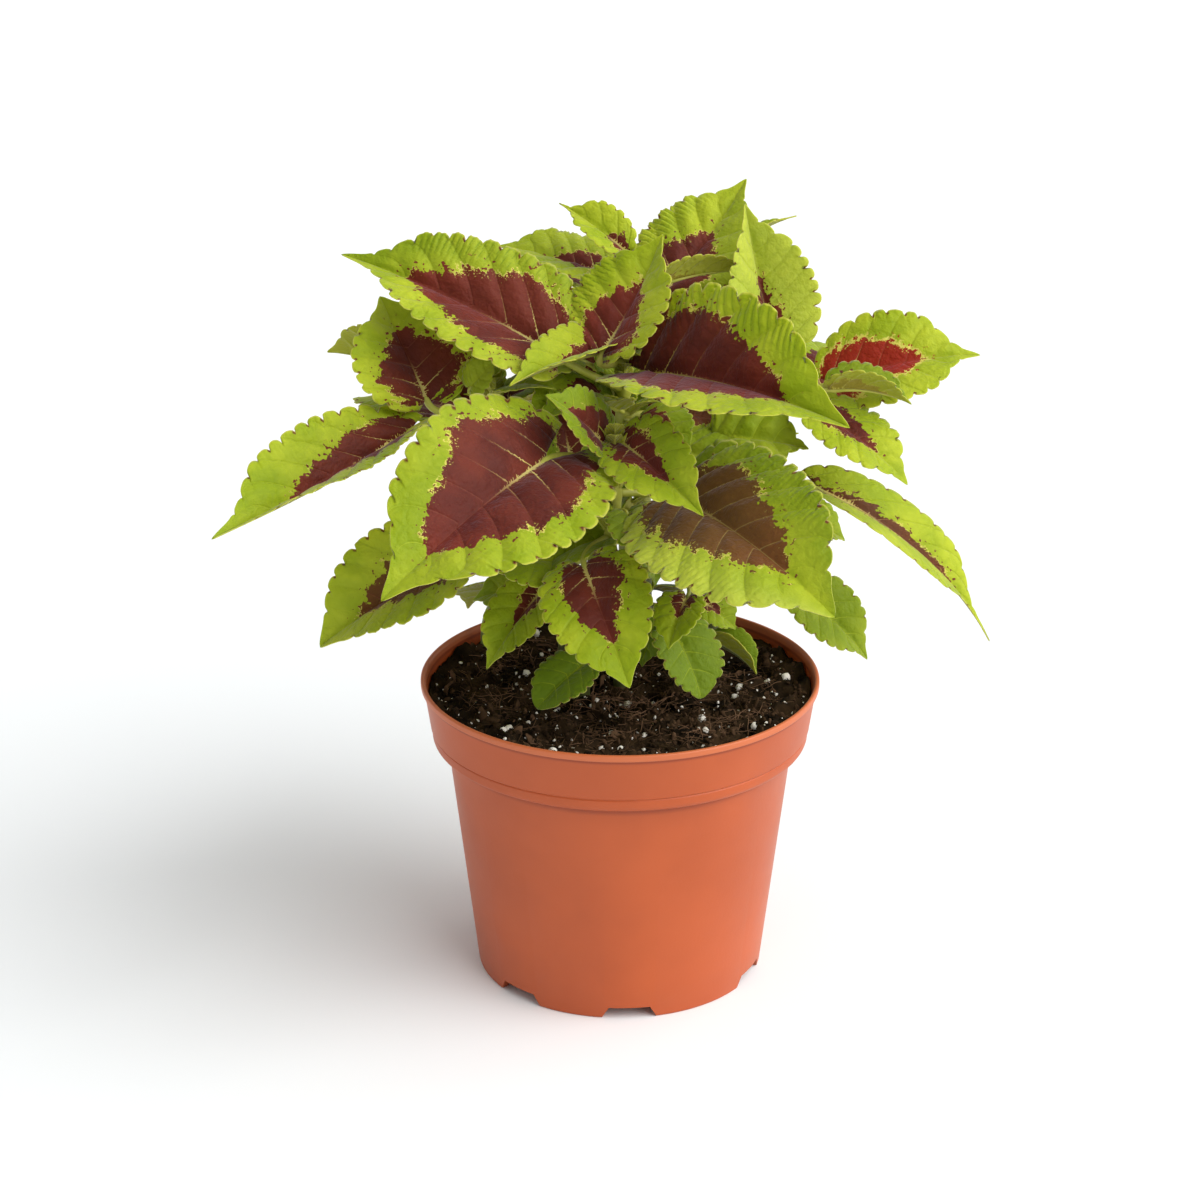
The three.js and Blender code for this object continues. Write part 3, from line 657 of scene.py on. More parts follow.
# The profile from the middle of the underside, out and up to the lip and back down inside: radius,
# height and how far the corner is rounded.
def potBody(material):
    p = potSize
    floorTop = p["floor"] + p["wall"]
    bodyInside = p["foot"] + (p["bodyTopRadius"] - p["foot"]) * floorTop / p["bodyTop"] - p["wall"]
    collarInside = p["collarHead"] - p["lipWall"]
    corners = [
        (0, p["floor"], 0),
        (p["foot"] - p["footWidth"], p["floor"], 0.5),
        (p["foot"] - p["footWidth"], 0, 0.5),
        (p["foot"], 0, 0.7),
        (p["bodyTopRadius"], p["bodyTop"], 1.4),
        (p["collarFoot"] - 0.8, p["bodyTop"] + 0.9, 0.9),
        (p["collarFoot"], p["bodyTop"] + 2, 0.9),
        (p["collarFoot"] + 0.15, p["bodyTop"] + 4.6, 0.3),
        (p["collarFoot"] - 0.15, p["bodyTop"] + 5.0, 0.2),
        (p["collarFoot"] + 0.55, p["bodyTop"] + 5.5, 0.3),
        (p["collarHead"], p["height"] - 2.5, 0.2),
        (p["rim"], p["height"] - 2.2, 0.8),
        (p["rim"], p["height"] - 0.2, 1.2),
        (p["rim"] - 1.1, p["height"], 0.6),
        (collarInside + 0.35, p["height"] - 0.9, 0.7),
        (collarInside, p["height"] - 3, 0.5),
        (p["collarFoot"] + 0.4 - p["lipWall"], p["bodyTop"] + 4, 0.8),
        (p["collarFoot"] - p["wall"], p["bodyTop"] + 2.2, 0.8),
        (p["bodyTopRadius"] - p["wall"], p["bodyTop"], 0.8),
        (bodyInside, floorTop, 1.5),
        (0, floorTop, 0),
    ]
    shape = bmesh.new()
    verts = [shape.verts.new((r * mm, 0, z * mm)) for r, z in roundedProfile(corners)]
    edges = [shape.edges.new(pair) for pair in zip(verts, verts[1:])]
    bmesh.ops.spin(shape, geom=verts + edges, cent=(0, 0, 0), axis=(0, 0, 1), angle=2 * math.pi,
                   steps=p["segments"], use_merge=True, use_duplicate=False)
    bmesh.ops.remove_doubles(shape, verts=shape.verts, dist=1e-6)
    bmesh.ops.recalc_face_normals(shape, faces=shape.faces)
    pot = fromShape("pot_moulded", shape)
    pot.data.materials.append(material)
    return pot


# Wedges for the foot notches and drills for the drain holes, in one mesh.
def potCutters():
    p = potSize
    shape = bmesh.new()
    for angle in p["notches"]:  # degrees from the front, one drain hole to each notch
        turn = math.radians(angle)
        outward = Vector((math.sin(turn), -math.cos(turn), 0))
        sideways = Vector((math.cos(turn), math.sin(turn), 0))
        low, high = [], []
        for radius in (p["foot"] - 6, p["foot"] + 3):
            for half, z in ((p["notchFoot"] / 2 + 0.55, -1), (p["notchHead"] / 2, p["notchHeight"])):
                for sign in (-1, 1):
                    at = outward * radius + sideways * half * sign + Vector((0, 0, z))
                    (low if z < 0 else high).append(shape.verts.new(at * mm))
        a, b, c, d = low
        e, f, g, h = high
        for face in ((a, b, d, c), (e, g, h, f), (a, e, f, b), (c, d, h, g), (a, c, g, e), (b, f, h, d)):
            shape.faces.new(face)
        drain = bmesh.ops.create_cone(shape, cap_ends=True, segments=32, radius1=p["drainRadius"] * mm,
                                      radius2=p["drainRadius"] * mm, depth=6 * mm)
        place = outward * p["drainCircle"] * mm + Vector((0, 0, (p["floor"] + 0.7) * mm))
        bmesh.ops.translate(shape, verts=drain["verts"], vec=place)
    bmesh.ops.recalc_face_normals(shape, faces=shape.faces)
    return fromShape("potCutters", shape)


# Applies what an object's modifiers do, and leaves a plain mesh at the origin.
def settle(piece):
    graph = bpy.context.evaluated_depsgraph_get()
    mesh = bpy.data.meshes.new_from_object(piece.evaluated_get(graph))
    piece.modifiers.clear()
    piece.data = mesh
    mesh.name = piece.name


def markSharp(piece):
    shape = bmesh.new()
    shape.from_mesh(piece.data)
    for face in shape.faces:
        face.smooth = True
    for edge in shape.edges:
        edge.smooth = edge.calc_face_angle(0) < math.radians(potSize["sharpFrom"])
    shape.to_mesh(piece.data)
    shape.free()


def makePot(material):
    pot = potBody(material)
    cutters = potCutters()
    cut = pot.modifiers.new("notches", "BOOLEAN")
    cut.object = cutters
    cut.operation = "DIFFERENCE"
    cut.solver = "EXACT"
    settle(pot)
    bpy.data.objects.remove(cutters)
    markSharp(pot)
    return pot


# ---- soil

soilSize = {
    "level": 93.2,
    "floor": 7,
    "gap": 0.4,
    "relief": 3.6,
    "clods": 0.12,  # how many to the millimetre
    "crumbs": 0.9,
    "bank": 4,  # how much higher the peat stands at the wall
    "rings": 84,
}
soilRadius = potSize["collarHead"] - potSize["lipWall"] - 0.7


def soilTop(x, y):
    r = math.hypot(x, y) / soilRadius
    lumps = math.sin(0.31 * x + 1.3) * math.cos(0.27 * y) + 0.7 * math.sin(0.53 * x - 0.47 * y)
    crumbs = 0.6 * math.sin(0.9 * x + 0.4) * math.sin(1.1 * y + 2)
    height = soilSize["level"] + soilSize["bank"] * r**4 + 0.7 * (lumps + crumbs) * (1 - r**6)
    rough = noise.fractal(Vector((x, y, 3.1)) * soilSize["clods"], 0.6, 2.1, 5)
    fine = noise.fractal(Vector((x, y, 7.7)) * soilSize["crumbs"], 0.8, 2.1, 3)
    return height + (soilSize["relief"] * rough + 0.35 * fine) * (1 - 0.4 * r**8)


# The top of the soil, or the whole block with its sides and its underside.
def soilRings(whole, inset=0.0):
    rings = soilSize["rings"]
    sides = 3 * rings
    turns = [2 * math.pi * j / sides for j in range(sides)]
    points = [[0, 0, soilTop(0, 0)]]
    for k in range(rings):
        radius = (soilRadius - inset) * (k + 1) / rings
        for turn in turns:
            x, y = radius * math.cos(turn), radius * math.sin(turn)
            points.append([x, y, soilTop(x, y)])
    if whole:
        p, gap = potSize, soilSize["gap"]
        lowRadius = p["foot"] + (p["bodyTopRadius"] - p["foot"]) * soilSize["floor"] / p["bodyTop"]
        below = [(p["collarFoot"] - p["lipWall"] - gap, p["bodyTop"] + 5),
                 (p["collarFoot"] - p["wall"] - gap - 0.6, p["bodyTop"] + 2.5),
                 (p["bodyTopRadius"] - p["wall"] - gap - 0.4, p["bodyTop"]),
                 (lowRadius - p["wall"] - gap, soilSize["floor"])]
        for radius, z in below:
            points += [[radius * math.cos(turn), radius * math.sin(turn), z] for turn in turns]
        rings += len(below)
        points.append([0, 0, soilSize["floor"]])
    faces = [(fanFaces(0, 1, sides), 0)]
    if whole:
        faces.append((fanFaces(len(points) - 1, 1 + (rings - 1) * sides, sides, behind=True), 0))
    return skin(np.array(points, float), faces + [(1 + wallFaces(rings, sides), 0)])


# ---- nodes: shorthand for the trees and the materials

def isSocket(value):
    return isinstance(value, bpy.types.NodeSocket)


# Adds a node and returns its outputs; a socket given for an input is linked, a plain value is set.
def put(tree, kind, sockets=None, **settings):
    made = tree.nodes.new(kind)
    for name, value in settings.items():
        setattr(made, name, value)
    for name, value in (sockets or {}).items():
        if isSocket(value):
            tree.links.new(value, made.inputs[name])
        else:
            made.inputs[name].default_value = value
    return made.outputs


def link(source, target):
    source.id_data.links.new(source, target)


# Adds a node to the tree that its values come from.
def putAfter(values, kind, sockets, **settings):
    tree = next(value.id_data for value in values if isSocket(value))
    return put(tree, kind, sockets, **settings)


def maths(operation, *values):
    return putAfter(values, "ShaderNodeMath", dict(enumerate(values)), operation=operation)[0]


# The first value times the second, plus the third where there is one.
def times(*values):
    return maths("MULTIPLY" if len(values) == 2 else "MULTIPLY_ADD", *values)


def larger(first, second):
    return maths("MAXIMUM", first, second)


def vector(*parts):
    return putAfter(parts, "ShaderNodeCombineXYZ", dict(enumerate(parts)))[0]


def vectorMaths(operation, first, second):
    at = "Scale" if operation == "SCALE" else 1
    return put(first.id_data, "ShaderNodeVectorMath", {0: first, at: second}, operation=operation)[0]


def ramp(value, low, high):
    sockets = {"Value": value, "From Min": low, "From Max": high}
    return put(value.id_data, "ShaderNodeMapRange", sockets, interpolation_type="SMOOTHSTEP")[0]


def noiseAt(place, scale, detail=3.0):
    sockets = {"Vector": place, "Scale": scale, "Detail": detail}
    return put(place.id_data, "ShaderNodeTexNoise", sockets)[0]


# Lays colours over one another, each by its own mask.
def layered(colour, *coats):
    for mask, coat in coats:
        below, above = (c if isSocket(c) else (*c, 1) for c in (colour, coat))
        sockets = {0: mask, 6: below, 7: above}
        colour = putAfter((mask, below, above), "ShaderNodeMix", sockets, data_type="RGBA")[2]
    return colour


# A node group, whose inputs are whole numbers, decimals, or geometry where the value is None.
def newTree(name, kind, sizes):
    tree = bpy.data.node_groups.new(name, kind)
    sorts = {int: "NodeSocketInt", float: "NodeSocketFloat", type(None): "NodeSocketGeometry"}
    for label, value in sizes.items():
        socket = tree.interface.new_socket(label, in_out="INPUT", socket_type=sorts[type(value)])
        if value is not None:
            socket.default_value = value
    return tree, tree.nodes.new("NodeGroupInput").outputs


def giveOut(tree, results, sort="NodeSocketFloat"):
    for label in results:
        tree.interface.new_socket(label, in_out="OUTPUT", socket_type=sort)
    put(tree, "NodeGroupOutput", results)


# ---- geometry node trees: litter on the soil

# Puts a tree on a copy of the carrier and returns its result as a plain piece.
def grow(name, tree, values, carrier, material):
    piece = newObject(name, carrier.data.copy())
    modifier = piece.modifiers.new(name, "NODES")
    modifier.node_group = tree
    for item in tree.interface.items_tree:
        if item.in_out == "INPUT" and item.name in values:
            modifier[item.identifier] = values[item.name]
    bpy.context.view_layer.update()
    settle(piece)
    piece.data.materials.clear()
    piece.data.materials.append(material)
    for polygon in piece.data.polygons:
        polygon.use_smooth = True
        polygon.material_index = 0
    return piece


def anySize(tree, source):
    sockets = {"Seed": source["Seed"], 2: source["Smallest"], 3: source["Largest"]}
    return put(tree, "FunctionNodeRandomValue", sockets, data_type="FLOAT")[1]


# Copies of one shape all over the carrier, each turned at random between two limits.
def scattered(tree, source, shape, turns, size):
    points = put(tree, "GeometryNodeDistributePointsOnFaces",
                 {"Mesh": source["Geometry"], "Density": source["Density"], "Seed": source["Seed"]})[0]
    turn = put(tree, "FunctionNodeRandomValue", {"Seed": source["Seed"], 0: turns[0], 1: turns[1]},
               data_type="FLOAT_VECTOR")[0]
    copies = put(tree, "GeometryNodeInstanceOnPoints",
                 {"Points": points, "Instance": shape, "Rotation": turn, "Scale": size})[0]
    return put(tree, "GeometryNodeRealizeInstances", {"Geometry": copies})[0]


# Noise that swings round a middle value from place to place.
def swing(tree, scale, middle):
    bumps = put(tree, "ShaderNodeTexNoise", {"Scale": scale, "Detail": 1.0})["Color"]
    return vectorMaths("SUBTRACT", bumps, middle)


def moved(tree, geometry, shift):
    return put(tree, "GeometryNodeSetPosition", {"Geometry": geometry, "Offset": shift})[0]


def finishTree(tree, geometry, material):
    done = put(tree, "GeometryNodeSetMaterial", {"Geometry": geometry, "Material": material})[0]
    smooth = put(tree, "GeometryNodeSetShadeSmooth", {"Geometry": done})[0]
    giveOut(tree, {"Geometry": smooth}, "NodeSocketGeometry")
    return tree


# Lumps: small bodies, round or flat, each knocked out of shape by noise where it lies.
def lumpTree(name, material):
    tree, source = newTree(name, "GeometryNodeTree",
                           {"Geometry": None, "Density": 1000.0, "Seed": 1, "Smallest": 0.3,
                            "Largest": 1.0, "Flatness": 0.0, "Roughness": 0.3})
    size = anySize(tree, source)
    height = times(maths("SUBTRACT", 1.0, source["Flatness"]), size)
    width = times(maths("ADD", height, size), 0.5)
    ball = put(tree, "GeometryNodeMeshIcoSphere", {"Radius": mm, "Subdivisions": 2})[0]
    anyTurn = ((-math.pi,) * 3, (math.pi,) * 3)
    lumps = scattered(tree, source, ball, anyTurn, vector(size, width, height))
    knock = times(source["Roughness"], 4 * mm)
    shift = vectorMaths("SCALE", swing(tree, 900.0, (0.5, 0.5, 0.5)), knock)
    return finishTree(tree, moved(tree, lumps, shift), material)


# Fibres: short bent threads that lie along the surface.
def fibreTree(name, material):
    tree, source = newTree(name, "GeometryNodeTree",
                           {"Geometry": None, "Density": 1000.0, "Seed": 1, "Smallest": 3.0,
                            "Largest": 9.0, "Thickness": 0.12, "Bend": 3.0})
    line = put(tree, "GeometryNodeCurvePrimitiveLine", {"End": (mm, 0, 0)})[0]
    line = put(tree, "GeometryNodeResampleCurve", {"Curve": line, "Count": 7})[0]
    nearlyLevel = ((0, -0.35, -math.pi), (0, 0.15, math.pi))
    lines = scattered(tree, source, line, nearlyLevel, anySize(tree, source))
    reach = vectorMaths("SCALE", vector(source["Bend"], source["Bend"], 2.2), 2 * mm)
    shift = vectorMaths("MULTIPLY", swing(tree, 110.0, (0.5, 0.5, 0.44)), reach)
    section = put(tree, "GeometryNodeCurvePrimitiveCircle",
                  {"Resolution": 4, "Radius": times(source["Thickness"], mm)})[0]
    threads = put(tree, "GeometryNodeCurveToMesh",
                  {"Curve": moved(tree, lines, shift), "Profile Curve": section, "Fill Caps": True})[0]
    return finishTree(tree, threads, material)


# ---- materials

# The three values that a skin carries in one layer, and the layer as a vector.
def layer(tree, name):
    whole = put(tree, "ShaderNodeAttribute", attribute_name=name, attribute_type="GEOMETRY")["Vector"]
    return (*put(tree, "ShaderNodeSeparateXYZ", {"Vector": whole}), whole)


# The pattern of one blade: where its dark centre, veins, notch dots and the painted highlight along
# its edge are. Widths are in millimetres, and soft is half the width over which a vein's edge fades.
def bladePattern(soft=0.12):
    tree, given = newTree("bladePattern", "ShaderNodeTree", {"Spikes": 5.0, "Lobes": 10.0, "Flecks": 6.5})
    result = {}
    u, v, vein, _ = layer(tree, "bladePlace")
    _, y, seed, flat = layer(tree, "bladeFlat")
    inside, pleat, tooth, _ = layer(tree, "bladeZone")
    spacing, tone, _, _ = layer(tree, "bladeKind")
    across = maths("ABSOLUTE", v)
    sideShift = times(maths("SIGN", v), 3.7)  # the two halves of a blade differ

    # ragged teeth along the border of the centre, drawn out along the side veins
    streak = vector(times(times(vein, spacing), 0.6, sideShift), times(inside, 0.24), seed)
    wide = vector(times(vein, 1.7, sideShift), times(across, 2.0), seed)
    textures = {"Spikes": noiseAt(streak, 1.0, 1.5), "Lobes": noiseAt(wide, 1.0, 1.0),
                "Flecks": noiseAt(flat, 0.85, 2.0)}
    field = inside
    for amount, texture in textures.items():
        field = times(maths("SUBTRACT", texture, 0.5), given[amount], field)
    islands = times(ramp(noiseAt(flat, 0.75, 0.5), 0.68, 0.7), ramp(inside, -5.5, -3.5))
    result["Centre"] = larger(ramp(field, -0.14, 0.14), islands)
    bold = ramp(tone, -0.3, -0.9)
    patchy = larger(ramp(noiseAt(flat, 0.12, 1.0), 0.42, 0.56), bold)
    edge = times(field, times(bold, -0.6, 1.0))
    result["Line"] = times(times(ramp(edge, -0.85, -0.3), ramp(edge, 0.15, -0.1)), patchy)
    specks = times(ramp(noiseAt(flat, 1.7, 0.5), 0.62, 0.66), ramp(field, 3.0, 0.8))
    result["Specks"] = times(specks, patchy)

    # veins, with short feathered stubs near the base
    stubs = ramp(noiseAt(vectorMaths("MULTIPLY", flat, (2.2, 0.7, 1.0)), 1.0, 0.5), 0.52, 0.72)
    nearBase = ramp(u, 0.42, 0.1)
    feather = times(stubs, nearBase)
    midWidth = times(feather, 1.3, times(ramp(u, 0.5, 0.0), 0.42, 0.12))
    result["Midrib"] = ramp(maths("SUBTRACT", midWidth, maths("ABSOLUTE", y)), -soft, soft)
    offVein = times(maths("PINGPONG", vein, 0.5), spacing)
    sideWidth = times(feather, 0.5, times(ramp(across, 0.8, 0.0), 0.13, 0.03))
    laterals = ramp(maths("SUBTRACT", sideWidth, offVein), -soft, soft)
    result["Laterals"] = times(laterals, ramp(u, 0.95, 0.8))
    result["Cream"] = times(nearBase, ramp(across, 0.7, 0.2))

    # dots in the notches between the teeth, and the painted highlight along the edge of the blade
    dots = times(ramp(maths("PINGPONG", tooth, 0.5), 0.15, 0.08), ramp(across, 0.925, 0.96))
    dots = times(dots, ramp(noiseAt(flat, 0.2, 0.0), 0.4, 0.5))
    result["Dots"] = times(dots, ramp(u, 0.88, 0.8))
    result["Rim"] = ramp(across, 0.97, 0.995)

    # slow mottling, painted shade in the folds, along the grooves of the side veins and in the creases
    # between the cushions, and the fine relief: a net of veins, and puffed cushions between them
    result["Mottle"] = noiseAt(flat, 0.07)
    cells, cushions = (
        ramp(put(tree, "ShaderNodeTexVoronoi", {"Vector": flat, "Scale": scale},
                 feature="DISTANCE_TO_EDGE")["Distance"], 0.0, 0.3)
        for scale in (0.6, 0.26)
    )
    groove = larger(ramp(offVein, 0.0, 0.9), ramp(u, 0.7, 0.85))
    valleyShade = larger(ramp(pleat, -0.15, -0.95), times(maths("SUBTRACT", 1.0, groove), 0.35))
    result["Valleys"] = larger(valleyShade, times(maths("SUBTRACT", 1.0, cushions), 0.22))
    height = maths("ADD", times(cells, 0.16), times(groove, 0.5))
    result["Height"] = times(noiseAt(flat, 1.6), 0.5, times(cushions, 0.42, height))
    giveOut(tree, result)
    return tree


leafColours = {
    "lime": (0.28, 0.36, 0.006),
    "limePale": (0.40, 0.46, 0.02),
    # pale: partly painted light, for leaves set below 0
    "pale": (0.47, 0.52, 0.08),
    # shade: the colour of the painted shade in the folds, grooves and creases
    "shade": (0.125, 0.205, 0.004),
    # green: partly the leaf's own deep green, partly painted shade for leaves that lie in shadow
    "green": (0.085, 0.15, 0.004),
    "maroon": (0.145, 0.024, 0.012),
    "wine": (0.098, 0.015, 0.008),
    "red": (0.30, 0.022, 0.008),
    "brown": (0.13, 0.06, 0.013),
    "cream": (0.66, 0.56, 0.17),
    # outline: the pale line round the dark centre, its specks, and the painted highlight along the edge
    "outline": (0.60, 0.55, 0.11),
    "pink": (0.27, 0.085, 0.05),
    "tan": (0.34, 0.25, 0.07),
    "under": (0.40, 0.38, 0.04),
    "stem": (0.38, 0.40, 0.04),
    "stemStreaks": (0.52, 0.50, 0.10),
}
leafSurface = {
    "Specular IOR Level": 0.13,
    "Sheen Weight": 0.22,
    "Sheen Roughness": 0.4,
    "Sheen Tint": (0.78, 0.68, 0.86, 1.0),
    "Subsurface Weight": 0.5,
    "Subsurface Radius": (1, 1, 0.4),
    "Subsurface Scale": 1.2 * mm,
}


def newMaterial(name, constants):
    material = bpy.data.materials.new(name)
    material.use_nodes = True
    shader = material.node_tree.nodes["Principled BSDF"].inputs
    for label, value in constants.items():
        shader[label].default_value = value
    return material, material.node_tree, shader


def addBump(shader, height, distance, strength=1.0):
    sockets = {"Height": height, "Distance": distance, "Strength": strength}
    link(put(height.id_data, "ShaderNodeBump", sockets)[0], shader["Normal"])


def leafMaterial(name, pattern, upper):
    c = leafColours
    material, tree, shader = newMaterial(name, leafSurface)
    marks = put(tree, "ShaderNodeGroup", node_tree=pattern)
    _, tone, deep, _ = layer(tree, "bladeKind")
    along = layer(tree, "bladePlace")[0]
    veins = larger(marks["Midrib"], marks["Laterals"])
    # the border's green, with painted shade in the valleys; its deep green and pale are partly painted
    # shade and light
    green = layered(c["lime"], (ramp(marks["Mottle"], 0.35, 0.65), c["limePale"]), (deep, c["green"]),
                    (ramp(deep, 0.0, -1.0), c["pale"]), (times(marks["Valleys"], 0.6), c["shade"]),
                    (times(times(veins, ramp(deep, 2.0, 0.2)), 0.6), c["limePale"]))
    brownest = ramp(tone, 0.85, 1.0)
    veinColour = layered(c["pink"], (marks["Cream"], c["cream"]), (brownest, c["tan"]))
    strength = times(times(marks["Cream"], 0.6, 0.3), ramp(tone, 2.2, 0.2))
    strength = times(brownest, 0.4, strength)
    reddest = times(ramp(along, 0.35, 0.8), 0.15, ramp(tone, 0.0, -1.0))
    centre = layered(c["wine"], (ramp(marks["Mottle"], 0.38, 0.62), c["maroon"]),
                     (ramp(tone, 0.0, 1.0), c["brown"]), (reddest, c["red"]),
                     (times(veins, strength), veinColour))
    colour = layered(green, (marks["Line"], c["outline"]), (marks["Centre"], centre),
                     (times(marks["Specks"], marks["Centre"]), c["outline"]), (marks["Dots"], c["wine"]),
                     (times(marks["Rim"], 0.45), c["outline"]))
    relief = marks["Height"]
    if not upper:
        colour = layered(colour, (0.6, c["under"]))
        relief = times(relief, -1.0)
    link(colour, shader["Base Color"])
    link(times(marks["Mottle"], 0.2, 0.42), shader["Roughness"])
    addBump(shader, relief, 0.4 * mm, 0.8)
    return material


# A stem takes its second colour towards the soil, between two heights; for the young stems this is a
# painted shade, dark where the leaves shade them near the soil.
def stemMaterial(name, low, heights=(165, 120)):
    material, tree, shader = newMaterial(name, {"Roughness": 0.5})
    place = put(tree, "ShaderNodeTexCoord")["Object"]
    height = put(tree, "ShaderNodeSeparateXYZ", {0: place})[2]
    c = leafColours
    colour = layered(c["stem"], (ramp(noiseAt(place, 130.0), 0.35, 0.7), c["stemStreaks"]),
                     (ramp(height, heights[0] * mm, heights[1] * mm), low))
    link(colour, shader["Base Color"])
    addBump(shader, noiseAt(place, 900.0), 0.15 * mm, 0.6)
    return material


# what a soil finish has: two colours, roughness, size of the mottling, depth of the relief (mm)
soilFinishes = {
    "peat": ((0.008, 0.005, 0.002), (0.042, 0.024, 0.011), 1.0, 90.0, 0.5),
    "peatCrumb": ((0.008, 0.0045, 0.002), (0.082, 0.046, 0.024), 1.0, 90.0, 0.3),
    "peatChip": ((0.03, 0.017, 0.006), (0.145, 0.08, 0.045), 1.0, 60.0, 0.2),
    "peatFibre": ((0.04, 0.023, 0.009), (0.24, 0.135, 0.078), 0.9, 50.0, 0.1),
    "perlite": ((0.80, 0.75, 0.66), (0.97, 0.93, 0.85), 0.9, 500.0, 0.2),
}


def soilMaterial(name, first, second, roughness, scale, relief):
    material, tree, shader = newMaterial(name, {"Roughness": roughness, "Specular IOR Level": 0.1})
    place = put(tree, "ShaderNodeTexCoord")["Object"]
    link(layered(first, (ramp(noiseAt(place, scale), 0.35, 0.65), second)), shader["Base Color"])
    addBump(shader, noiseAt(place, scale * 4), relief * mm)
    return material


potLook = {
    "plastic": (0.44, 0.074, 0.010),
    "cloudy": (0.50, 0.088, 0.014),
    # the next two: a painted highlight along the lip, its colour and the two heights it spans
    "lip": (0.66, 0.19, 0.07),
    "lipHighlightFrom": (98.6, 99.2),
    # line: the colour of the painted shade in the creases under the lip and under the collar
    "line": (0.25, 0.03, 0.003),
    "dust": (0.30, 0.09, 0.04),
    "dustUpTo": 14,
}


def potMaterial():
    c = potLook
    material, tree, shader = newMaterial("terracottaPlastic", {})
    place = put(tree, "ShaderNodeTexCoord")["Object"]
    height = put(tree, "ShaderNodeSeparateXYZ", {0: place})[2]
    cloudy = noiseAt(place, 28.0)
    # a painted highlight along the top of the lip
    lipHighlight = ramp(height, c["lipHighlightFrom"][0] * mm, c["lipHighlightFrom"][1] * mm)
    colour = layered(c["plastic"], (ramp(cloudy, 0.3, 0.7), c["cloudy"]), (times(lipHighlight, 0.5), c["lip"]))
    # painted shade: a darker line under the lip and one under the collar, where shade falls in the crease
    # and below the step
    for line, reach in ((potSize["height"] - 2.9, 0.9), (potSize["bodyTop"] - 0.9, 2.2)):
        off = maths("ABSOLUTE", maths("SUBTRACT", height, line * mm))
        colour = layered(colour, (times(ramp(off, reach * mm, 0.0), 0.7), c["line"]))
    dusty = times(ramp(height, c["dustUpTo"] * mm, 0.0), ramp(cloudy, 0.45, 0.75))
    link(layered(colour, (times(dusty, 0.3), c["dust"])), shader["Base Color"])
    link(times(noiseAt(place, 60.0), 0.16, 0.36), shader["Roughness"])
    addBump(shader, noiseAt(place, 1100.0, 2.0), 0.05 * mm, 0.5)
    return material


# ---- putting it together

print("materials")
pattern = bladePattern()
leafFinishes = [
    leafMaterial("leafUpper", pattern, True),
    leafMaterial("leafUnder", pattern, False),
    # darker below: a painted shade near the soil
    stemMaterial("youngStem", (0.09, 0.10, 0.025)),
    stemMaterial("paleShoot", (0.27, 0.33, 0.10)),
]
soilFinish = {name: soilMaterial(name, *look) for name, look in soilFinishes.items()}

print("leafy stems")
for number, stem in enumerate(plant):
    piece = leafyStem(number, stem, leafFinishes)
    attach(piece, "root")
    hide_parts(stem["node"])

print("pot")
pot = makePot(potMaterial())
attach(pot, "root")
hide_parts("pot")

print("soil")
soil = meshFrom("soil_peat", [soilRings(True)], [soilFinish["peat"]])
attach(soil, "root")
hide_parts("soil")

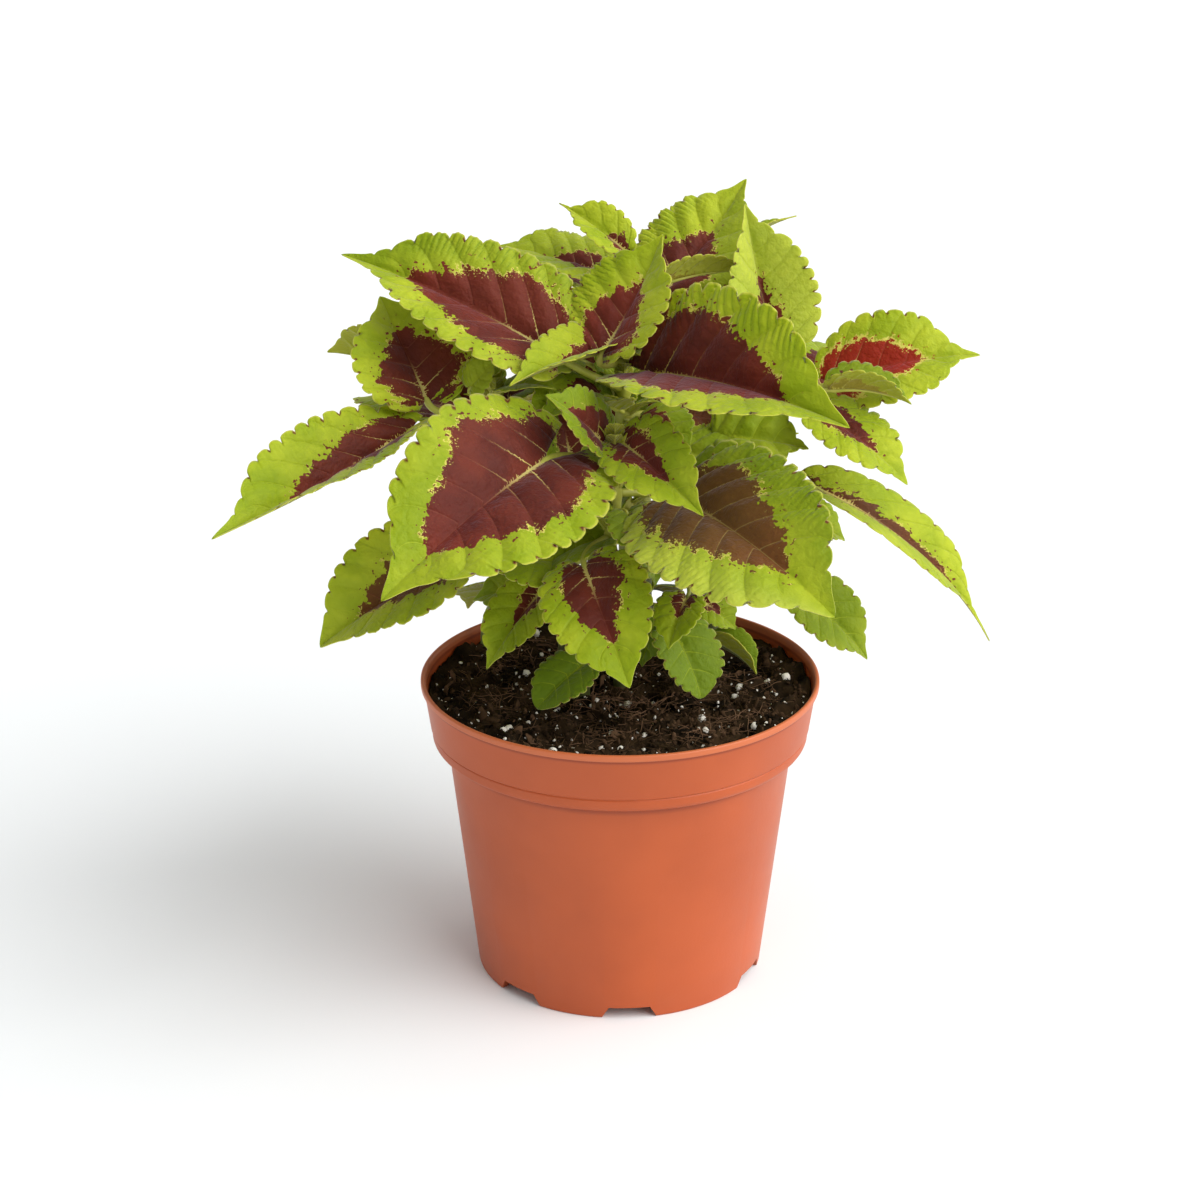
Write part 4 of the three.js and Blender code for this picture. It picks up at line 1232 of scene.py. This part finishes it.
# inset: how far the litter stays from the edge of the soil, so that none reaches through the wall
litter = [
    {"name": "crumbs", "make": lumpTree, "finish": "peatCrumb", "inset": 2,
     "sizes": {"Density": 135000.0, "Seed": 3, "Smallest": 0.25, "Largest": 1.3, "Flatness": 0.45,
               "Roughness": 0.42}},
    {"name": "chips", "make": lumpTree, "finish": "peatChip", "inset": 4,
     "sizes": {"Density": 26000.0, "Seed": 4, "Smallest": 0.5, "Largest": 2.4, "Flatness": 0.75,
               "Roughness": 0.4}},
    {"name": "fibres", "make": fibreTree, "finish": "peatFibre", "inset": 10,
     "sizes": {"Density": 150000.0, "Seed": 5, "Smallest": 2.0, "Largest": 9.0, "Thickness": 0.11,
               "Bend": 1.5}},
    {"name": "perlite", "make": lumpTree, "finish": "perlite", "inset": 2,
     "sizes": {"Density": 27000.0, "Seed": 8, "Smallest": 0.18, "Largest": 0.6, "Roughness": 0.3}},
    {"name": "largePerlite", "make": lumpTree, "finish": "perlite", "inset": 5,
     "sizes": {"Density": 4000.0, "Seed": 11, "Smallest": 0.6, "Largest": 1.6, "Roughness": 0.3}},
]
for kind in litter:
    finish = soilFinish[kind["finish"]]
    surface = meshFrom("soilSurface", [soilRings(False, kind["inset"])], [soilFinish["peat"]])
    tree = kind["make"](kind["name"], finish)
    piece = grow("soil_" + kind["name"], tree, kind["sizes"], surface, finish)
    bpy.data.objects.remove(surface)
    print(" ", kind["name"], len(piece.data.polygons))
    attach(piece, "root")

# ---- stage, light and camera

print("stage")
view = {"place": (0, -959.35, 507.24), "down": 21.61, "left": 0.39, "focal": 3191.8, "pixels": 1200}
camera = newObject("camera", bpy.data.cameras.new("camera"))
camera.location = Vector(view["place"]) * mm
camera.rotation_euler = (math.radians(90 - view["down"]), 0, math.radians(view["left"]))
camera.data.sensor_width = 36
camera.data.lens = view["focal"] / view["pixels"] * camera.data.sensor_width
scene.camera = camera

bpy.ops.mesh.primitive_plane_add(size=14)
floor = bpy.context.object
floor.name = "floor"
floorFinish = newMaterial("paleFloor", {"Roughness": 0.9, "Base Color": (0.9, 0.923, 0.928, 1)})[0]
floor.data.materials.append(floorFinish)

world = bpy.data.worlds.new("studio")
world.use_nodes = True
sky = world.node_tree.nodes["Background"].inputs
sky["Color"].default_value = (1, 1, 1, 1)
sky["Strength"].default_value = 0.5
scene.world = world


def sun(name, azimuth, height, strength, softness):
    lamp = newObject(name, bpy.data.lights.new(name, "SUN"))
    lamp.data.energy = strength
    lamp.data.angle = math.radians(softness)
    lamp.rotation_euler = (math.radians(90 - height), 0, math.radians(azimuth))


sun("windowLight", 58, 41, 2.7, 62)  # from the right and in front
sun("sideLight", 100, 25, 1.15, 80)
scene.view_settings.view_transform = "Standard"

meshes = [o.data for o in bpy.data.objects if o.type == "MESH"]
print("triangles", sum(len(polygon.vertices) - 2 for mesh in meshes for polygon in mesh.polygons))
